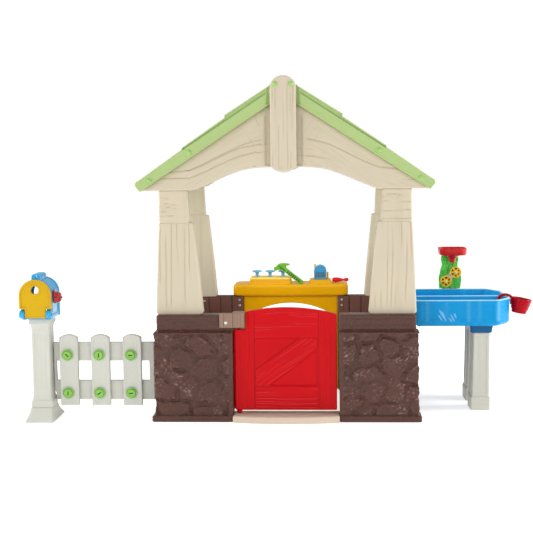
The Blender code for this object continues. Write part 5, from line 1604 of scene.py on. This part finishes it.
def basin():
    left, right, front, rear = TABLE_LOW.x, TABLE_HIGH.x, TABLE_LOW.y, TABLE_HIGH.y
    rim, corner, wall_thick, divider = TABLE_HIGH.z, 0.056, 0.014, 0.310
    outline = [(left, front), (right - corner, front), (right, front + corner * 1.3),
               (right, rear - corner * 1.5), (right - corner, rear), (left, rear)]
    outer = resample(fillet(outline, [0.014, 0.036, 0.030, 0.030, 0.036, 0.014], 8), 0.004)
    inner_left, inner_right = left + wall_thick, right - wall_thick
    first = [(inner_left, front + wall_thick), (inner_right - 0.050, front + wall_thick),
             (inner_right, front + 0.083), (inner_right, divider - 0.006), (inner_left, divider - 0.006)]
    second = [(inner_left, divider + 0.006), (inner_right, divider + 0.006), (inner_right, rear - 0.094),
              (inner_right - 0.046, rear - wall_thick), (inner_left, rear - wall_thick)]
    pockets = [resample(fillet(first, [0.014, 0.030, 0.026, 0.012, 0.012], 8), 0.005)[::-1],
               resample(fillet(second, [0.012, 0.012, 0.026, 0.026, 0.014], 8), 0.005)[::-1]]
    shell = Shell(level(rim))
    lip = 0.0050
    rims = [offset(loop, lip) for loop in [outer] + pockets]
    # A painted highlight on the rim's top, fading down its rounded lip.
    ids = [shell.add(loop, 0.0, 1.0) for loop in rims]
    shell.cap(rims, ids, 0.003, marked(1.0))
    curl = [(lip * (1 - math.sin(a)), lip * (1 - math.cos(a)), math.cos(a))
            for a in np.radians(np.linspace(15, 90, 6))]
    steps = list(curl)
    facing_front = (outer[:, 1] < front + 0.004) * ease(outer[:, 0], left + 0.030, left + 0.038)
    facing_front = facing_front * fall(outer[:, 0], right - 0.085, right - 0.077)
    for depth in np.arange(0.008, 0.089, 0.003):
        height = np.full(len(outer), rim - depth)
        taper = 0.0010 + 0.0015 * ease(depth, 0.010, 0.024) + 0.02 * max(0.0, depth - 0.02)
        swell = 0.0009 * np.sin(outer[:, 0] * 95) * np.sin(outer[:, 1] * 70 + 1)
        raised = basin_strokes(outer[:, 0], outer[:, 1], height)
        panel = 0.0020 * facing_front * between(depth, 0.012, 0.018, 0.078, 0.084)
        # Painted highlights: soft upright streaks along the front and on the splash strokes.
        shine = 0.5 * raised
        for x, strength in ((0.574, 0.07), (0.652, 0.04), (0.742, 0.09), (0.786, 0.05), (right - 0.058, 0.2)):
            shine = shine + strength * crest(outer[:, 0] - x, 0.008) * (outer[:, 1] < front + 0.03)
        steps.append((taper + 0.0010 + swell + panel - 0.0026 * raised, depth, shine))
    base, fillet_radius = 0.0042, 0.022
    for turn in np.radians(np.linspace(8, 90, 9)):
        steps.append((base + fillet_radius * (1 - math.cos(turn)), 0.088 + fillet_radius * math.sin(turn)))
    bottom = shell.chain(outer, ids[0], steps)
    shell.cap([offset(outer, base + fillet_radius)], [bottom])
    for loop, ring in zip(pockets, ids[1:]):
        inward = list(curl)
        # The pockets' shaded walls and floors are painted lighter: painted light.
        for depth in np.arange(0.008, 0.090, 0.005):
            bulge = ease(loop[:, 1], rear - wall_thick - 0.012, rear - wall_thick - 0.004)
            bulge = bulge * ease(loop[:, 0], 0.640, 0.652) * fall(loop[:, 0], 0.765, 0.777)
            inward.append((-0.10 * depth - 0.0055 * bulge, depth, -0.6))
        inward += [(-0.0100, 0.0920, -0.6), (-0.0125, 0.0975, -0.5), (-0.0165, 0.1010, -0.4),
                   (-0.0210, 0.1020, -0.3)]
        floor_ring = shell.chain(loop, ring, inward)
        shell.cap([offset(loop, -0.0210)], [floor_ring])
    make("basin_moulding", shell.verts, shell.faces, BLUE, HOUSE, ["table_basin"], 50, shell.marks)
    for word in ("front", "back"):
        low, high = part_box("table_%s_leg" % word)
        middle = (low.y + high.y) / 2
        levels = []
        for height, half, half_depth in ((0.326, 0.0425, 0.0565), (0.3275, 0.0440, 0.0580),
                                         (0.345, 0.0455, 0.0595), (0.352, 0.0475, 0.0620),
                                         (BASIN_BOTTOM + 0.002, 0.0530, 0.0680)):
            levels.append((height, LEG_X - half, LEG_X + half, middle - half_depth, middle + half_depth))
        # The sockets take the darker copy: painted shade.
        socket = block("leg_socket_" + word, levels, SOCKET_PAINTED_SHADE, corner=0.008, step=0.02, corner_steps=6,
                       rise=0.02, sharp=50)
        carve(socket, slab_box("tool", (LEG_X - 0.030, middle - 0.040, 0.30),
                               (LEG_X + 0.030, middle + 0.040, 0.350), 0.004, SOCKET_PAINTED_SHADE))


def table_leg(word):
    name = "table_%s_leg" % word
    low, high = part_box(name)
    middle = (low.y + high.y) / 2
    sizes = [(0.0, 0.0385, 0.051, -0.001), (0.002, 0.0405, 0.053, -0.001), (0.053, 0.0405, 0.053, -0.001),
             (0.0555, 0.0395, 0.052, -0.001), (0.057, 0.0375, 0.0505, -0.001), (0.060, 0.0365, 0.0498, 0.0),
             (0.322, 0.0350, 0.048, 0.003), (0.3257, 0.0335, 0.0465, 0.003), (0.3259, 0.0297, 0.0397, 0.0),
             (0.3475, 0.0297, 0.0397, 0.0), (0.3497, 0.0280, 0.0380, 0.0)]
    levels = []
    for height, half, half_depth, shift in sizes:
        centre = LEG_X + shift
        levels.append((height, centre - half, centre + half, middle - half_depth, middle + half_depth))

    def relief(points, height, normals):
        shaft = between(height, 0.068, 0.074, 0.308, 0.314)
        off_x, off_y = np.abs(points[:, 0] - LEG_X - 0.001), np.abs(points[:, 1] - middle)
        on_front = (np.abs(normals[:, 1]) > 0.9) * fall(off_x, 0.0215, 0.0235)
        on_side = (np.abs(normals[:, 0]) > 0.9) * fall(off_y, 0.0335, 0.0355)
        panel = shaft * np.maximum(on_front, on_side)
        band = crest(height - 0.030, 0.0025)
        lines = grain(points[:, 0] + points[:, 1], height, 201, 0.012, 0.005, 0.12, 0.0013) * shaft
        return 0.0016 * panel + 0.0010 * band + 0.0008 * lines + 0.0002, 0.2 * lines
    block(name + "_moulding", levels, LEG, replaced=[name], corner=0.0065, step=0.0030, relief=relief)


# Water tower, wheels, tray and cup ------------------------------------------------------------------------
WHEELS = ((0.7297, 0.544), (0.6875, 0.504))
WHEEL_Y, WHEEL_RADIUS, AXLE_HOLE = 0.530, 0.0242, 0.0046
TRAY_LOW, TRAY_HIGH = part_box("water_tray")


def leaf(name, foot, tip, width, bend, front):
    """A long wavy leaf between two points of the tower's face, crowned along its midrib."""
    start, end = Vector(foot), Vector(tip)
    run = end - start
    normal = Vector((-run.y, run.x)).normalized()
    length = run.length

    def spine(share):
        return start + run * share + normal * bend * math.sin(share * math.pi * 2.0)

    def half(share):
        return width / 2 * (math.sin(min(1.0, share * 1.08 + 0.16) * math.pi) ** 0.6 + 0.02)
    shares = np.linspace(0.0, 0.92, 22)
    right = [tuple(spine(s) - normal * half(s)) for s in shares]
    left = [tuple(spine(s) + normal * half(s)) for s in reversed(shares)]
    outline = right + [tuple(spine(1.0))] + left

    def relief(across, along):
        offset_x, offset_z = across - start.x, along - start.y
        share = np.clip((offset_x * run.x + offset_z * run.y) / length ** 2, 0.0, 1.0)
        off = (offset_x * normal.x + offset_z * normal.y) - bend * np.sin(share * math.pi * 2.0)
        rib = crest(off, 0.0011)
        veins = 0.5 + 0.5 * np.sin((share * length - np.abs(off) * 0.9) * 2 * math.pi / 0.0105)
        cross = np.clip(np.abs(off) / (width / 2), 0, 1)
        # Painted shade towards the leaf's sunken edges; the midrib is a darkened line.
        return (0.0040 * cross ** 2 + 0.0012 * rib + 0.0007 * veins * cross,
                0.35 * rib + 0.55 * ease(cross, 0.6, 1.0))
    plate(name, [outline], upright(front, 1), 0.0085, 0.0014, LEAF, step=0.0016, relief=relief)


def wheel_tower():
    middle = 0.7075
    bottom, top = TABLE_HIGH.z + GAP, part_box("wheel_tower")[1].z
    count = 24
    sides = []
    for step in range(count + 1):
        share = step / count
        sides.append((0.0455 - 0.011 * share + 0.0030 * math.sin(share * 5 * math.pi),
                      bottom + (top - bottom) * share))
    outline = [(middle + half, height) for half, height in sides]
    outline += [(middle - half, height) for half, height in reversed(sides)]

    def crinkled(across, along):
        return 0.002 + 0.0015 * np.sin(across * 260 + 9 * np.sin(along * 30))
    plate("wheel_tower_back", [outline], upright(0.5585, 1), 0.0135, 0.0025, LEAF, replaced=["wheel_tower"],
          step=0.004, relief=crinkled)
    slab_box("wheel_tower_clip", (middle - 0.030, TABLE_HIGH.y + GAP, 0.440),
             (middle + 0.030, TABLE_HIGH.y + 0.010, 0.490), 0.002, LEAF)
    leaves = [((-0.024, 0.0), (-0.026, 0.148), 0.036, 0.0060, 0.5520),
              ((0.026, 0.0), (0.026, 0.148), 0.036, -0.0060, 0.5525),
              ((0.000, 0.0), (0.001, 0.140), 0.030, 0.0040, 0.5535),
              ((-0.036, 0.0), (-0.012, 0.100), 0.024, 0.0040, 0.5495),
              ((0.036, 0.0), (0.020, 0.096), 0.024, -0.0040, 0.5500),
              ((-0.014, 0.0), (-0.034, 0.082), 0.020, -0.003, 0.5488),
              ((0.013, 0.0), (0.006, 0.074), 0.020, 0.003, 0.5490)]
    for order, (foot, tip, width, bend, front) in enumerate(leaves):
        leaf("tower_leaf_%d" % (order + 1), (middle + foot[0], bottom + 0.001),
             (middle + tip[0], bottom + tip[1]), width, bend, front)
    for order, (x, z) in enumerate(WHEELS):
        axle = [(0.0, 0.022), (0.003, 0.0215), (0.004, 0.0205), (0.004, -0.022), (0.0, -0.022)]
        lathe("wheel_axle_%d" % (order + 1), axle, "Y", (x, 0.534, z), LINK, steps=24)


def axle_hole(x, z):
    return arc((x, z), AXLE_HOLE, 0, 345, 23)


def wheel_link():
    (x1, z1), (x2, z2) = WHEELS
    lean = math.degrees(math.atan2(z1 - z2, x1 - x2))
    half = 0.0135
    outline = arc((x1, z1), half, lean - 90, lean + 90, 16) + arc((x2, z2), half, lean + 90, lean + 270, 16)
    holes = [axle_hole(x, z) for x, z in WHEELS]

    def relief(across, along):
        turn = math.radians(lean)
        off = -(across - x2) * math.sin(turn) + (along - z2) * math.cos(turn)
        return 0.0008 * fall(np.abs(off), 0.0075, 0.0090)
    plate("wheel_link", [outline] + holes, upright(0.5440, 1), 0.0032, 0.0008, LINK, step=0.0012,
          relief=relief)


def water_wheel(number):
    x, z = WHEELS[number - 1]
    name = "water_wheel_%d" % number
    body = name + "_body"
    circle = arc((x, z), WHEEL_RADIUS, 0, 354, 59)
    bore = axle_hole(x, z)
    blades = 6
    windows = []
    for blade in range(blades):
        middle = 360 * (blade + 0.5) / blades
        inner = arc((x, z), 0.0090, middle - 8, middle + 8, 2)
        outer = arc((x, z), 0.0205, middle + 19, middle - 19, 5)
        windows.append(fillet(inner + outer, 0.0012, 2))

    def dish(across, along):
        away = np.hypot(across - x, along - z)
        angle = np.arctan2(along - z, across - x)
        ribs = 0.5 + 0.5 * np.cos(angle * blades)
        field = fall(away, 0.0205, 0.0225) * ease(away, 0.0075, 0.0100) * (1 - 0.6 * ribs ** 4)
        # Painted shade in the recessed dish.
        return 0.0016 * field + 0.0002, 0.35 * field
    plate(name + "_front", [circle, bore] + windows, upright(WHEEL_Y - 0.013, 1), 0.0048, 0.0010, WHEEL,
          body, [name], 0.0012, dish)
    # The rear plate, seen through the windows, is painted dark: painted shade.
    rear_rim = arc((x, z), WHEEL_RADIUS - 0.0020, 0, 354, 59)
    plate(name + "_rear", [rear_rim, bore], upright(WHEEL_Y + 0.0100, 1), 0.0030, 0.0008, WHEEL, body,
          step=0.003, relief=marked(1.0))
    hub = [(AXLE_HOLE, 0.0133), (0.0078, 0.0133), (0.0086, 0.0125), (0.0086, -0.0105), (AXLE_HOLE, -0.0105)]
    lathe(name + "_hub", hub, "Y", (x, WHEEL_Y, z), WHEEL, body, steps=40, closed=True)
    for blade in range(blades):
        vane = slab_box("%s_vane_%d" % (name, blade + 1), (x + 0.0080, WHEEL_Y - 0.0090, z - 0.0008),
                        (x + 0.0228, WHEEL_Y + 0.0105, z + 0.0008), 0.0004, WHEEL, body, steps=2)
        turn = Matrix.Translation((x, 0, z)) @ Matrix.Rotation(math.radians(-360 * blade / blades), 4, "Y")
        vane.data.transform(turn @ Matrix.Translation((-x, 0, -z)))


def water_tray():
    x, y = (TRAY_LOW.x + TRAY_HIGH.x) / 2, (TRAY_LOW.y + TRAY_HIGH.y) / 2
    foot, rim = 0.617, TRAY_HIGH.z
    profile = [(0.0096, 0.5895), (0.0105, 0.588), (0.0118, 0.588), (0.0126, 0.5892), (0.0130, 0.596),
               (0.0150, 0.603), (0.0205, 0.6105), (0.0240, 0.6150), (0.0275, 0.6166),
               (0.0340, foot + 0.002), (0.0530, foot + 0.005), (0.0565, foot + 0.0062),
               (0.0582, foot + 0.0090), (0.0598, rim - 0.008), (0.0605, rim - 0.0035),
               (0.0602, rim - 0.0010), (0.0592, rim), (0.0576, rim), (0.0566, rim - 0.0012),
               (0.0560, rim - 0.004), (0.0548, foot + 0.0140), (0.0530, foot + 0.0105),
               (0.0500, foot + 0.0092), (0.0300, foot + 0.0070), (0.0235, foot + 0.0030),
               (0.0205, foot - 0.0020), (0.0125, 0.6020), (0.0098, 0.5960)]

    def squared(angle, radius, along):
        square = (abs(math.cos(angle)) ** 4 + abs(math.sin(angle)) ** 4) ** -0.25
        facet = 0.010 * math.cos(angle * 12)
        share = ease(radius, 0.026, 0.046)
        return 1 + share * (square - 1 - 0.010 + facet * (radius > 0.045))
    lathe("water_tray_moulding", profile, "Z", (x, y, 0.0), TRAY, replaced=["water_tray"], steps=120,
          closed=True, wave=squared, sharp=55)


def scoop_cup():
    body = "scoop_cup_body"
    centre = (0.9605, CUP_Y, 0.400)
    tilt = Matrix.Rotation(math.radians(10.0), 3, "Y")
    height = 0.062
    profile = [(0.0, 0.0), (0.0270, 0.0), (0.0290, 0.0006), (0.0303, 0.0022), (0.0318, 0.0145),
               (0.0325, 0.0160), (0.0348, 0.0172), (0.0356, 0.0190), (0.0366, 0.0300), (0.0374, 0.0318),
               (0.0388, 0.0330), (0.0393, 0.0350), (0.0400, 0.0450), (0.0408, 0.0468), (0.0422, 0.0478),
               (0.0428, 0.0500), (0.0430, height - 0.0012), (0.0424, height), (0.0408, height),
               (0.0398, height - 0.0016), (0.0385, 0.0460), (0.0355, 0.0290), (0.0310, 0.0070),
               (0.0290, 0.0045), (0.0, 0.0040)]

    def spout(angle, radius, along):
        wide = math.exp(-(min(angle, 2 * math.pi - angle) / 0.26) ** 2)
        flute = 0.012 * math.cos(angle * 14) * float(radius > 0.0310 and along < 0.046)
        return 1 - 0.085 * (1 - wide) * ease(along, 0.040, 0.060) + flute
    lathe("scoop_cup_bowl", profile, "Z", centre, CUP, body, ["scoop_cup"], steps=112, wave=spout, sharp=50,
          turn=tilt)
    middle, foot = 0.9045, 0.4600
    sweep = np.radians(np.linspace(0, 180, 25))
    outer = [(middle + 0.0325 * math.cos(a), foot + 0.0215 * math.sin(a)) for a in sweep]
    inner = [(middle + 0.0205 * math.cos(a), foot + 0.0115 * math.sin(a)) for a in sweep[::-1]]
    outline = [(middle + 0.0205, 0.436), (middle + 0.0340, 0.442)] + outer + [(middle - 0.0325, 0.4500)]
    outline += [(middle - 0.0205, 0.4500)] + inner
    plate("scoop_cup_handle", [outline], upright(CUP_Y - 0.009, 1), 0.018, 0.0025, CUP, body, step=0.003)


# Assembly -------------------------------------------------------------------------------------------------
def trim_screws():
    """Screws that hold the workbench and the walls together, seen on the back walls' inner faces."""
    face = DEPTH - WALL_THICK + 0.0012
    for word, side in SIDES:
        for order, (x, z) in enumerate(((0.231, 0.414), (0.231, 0.389), (0.3905, 0.410))):
            screw_head("back_wall_screw_%s_%d" % (word, order + 1), (side * x, face, z))


camera()
studio()
for sign in (-1, 1):
    side_wall(sign)
    for word in ("front", "back"):
        wall(word, sign)
        pillar(word, sign)
        gable(word, sign)
        roof_fascia(word, sign)
    roof_deck(sign)
for word in ("front", "back"):
    king_post(word)
    table_leg(word)
bolts()
trim_screws()
threshold()
door()
hinge_bracket()
bench_top()
bench_panel()
for number in (1, 2, 3):
    peg(number)
    picket(number)
vise_jaw()
hammer()
screwdriver()
mailbox_post()
mailbox_body()
mailbox_door()
mailbox_flag()
fence_frame()
for number in range(1, 7):
    fence_knob(number)
basin()
wheel_tower()
wheel_link()
for number in (1, 2):
    water_wheel(number)
water_tray()
scoop_cup()
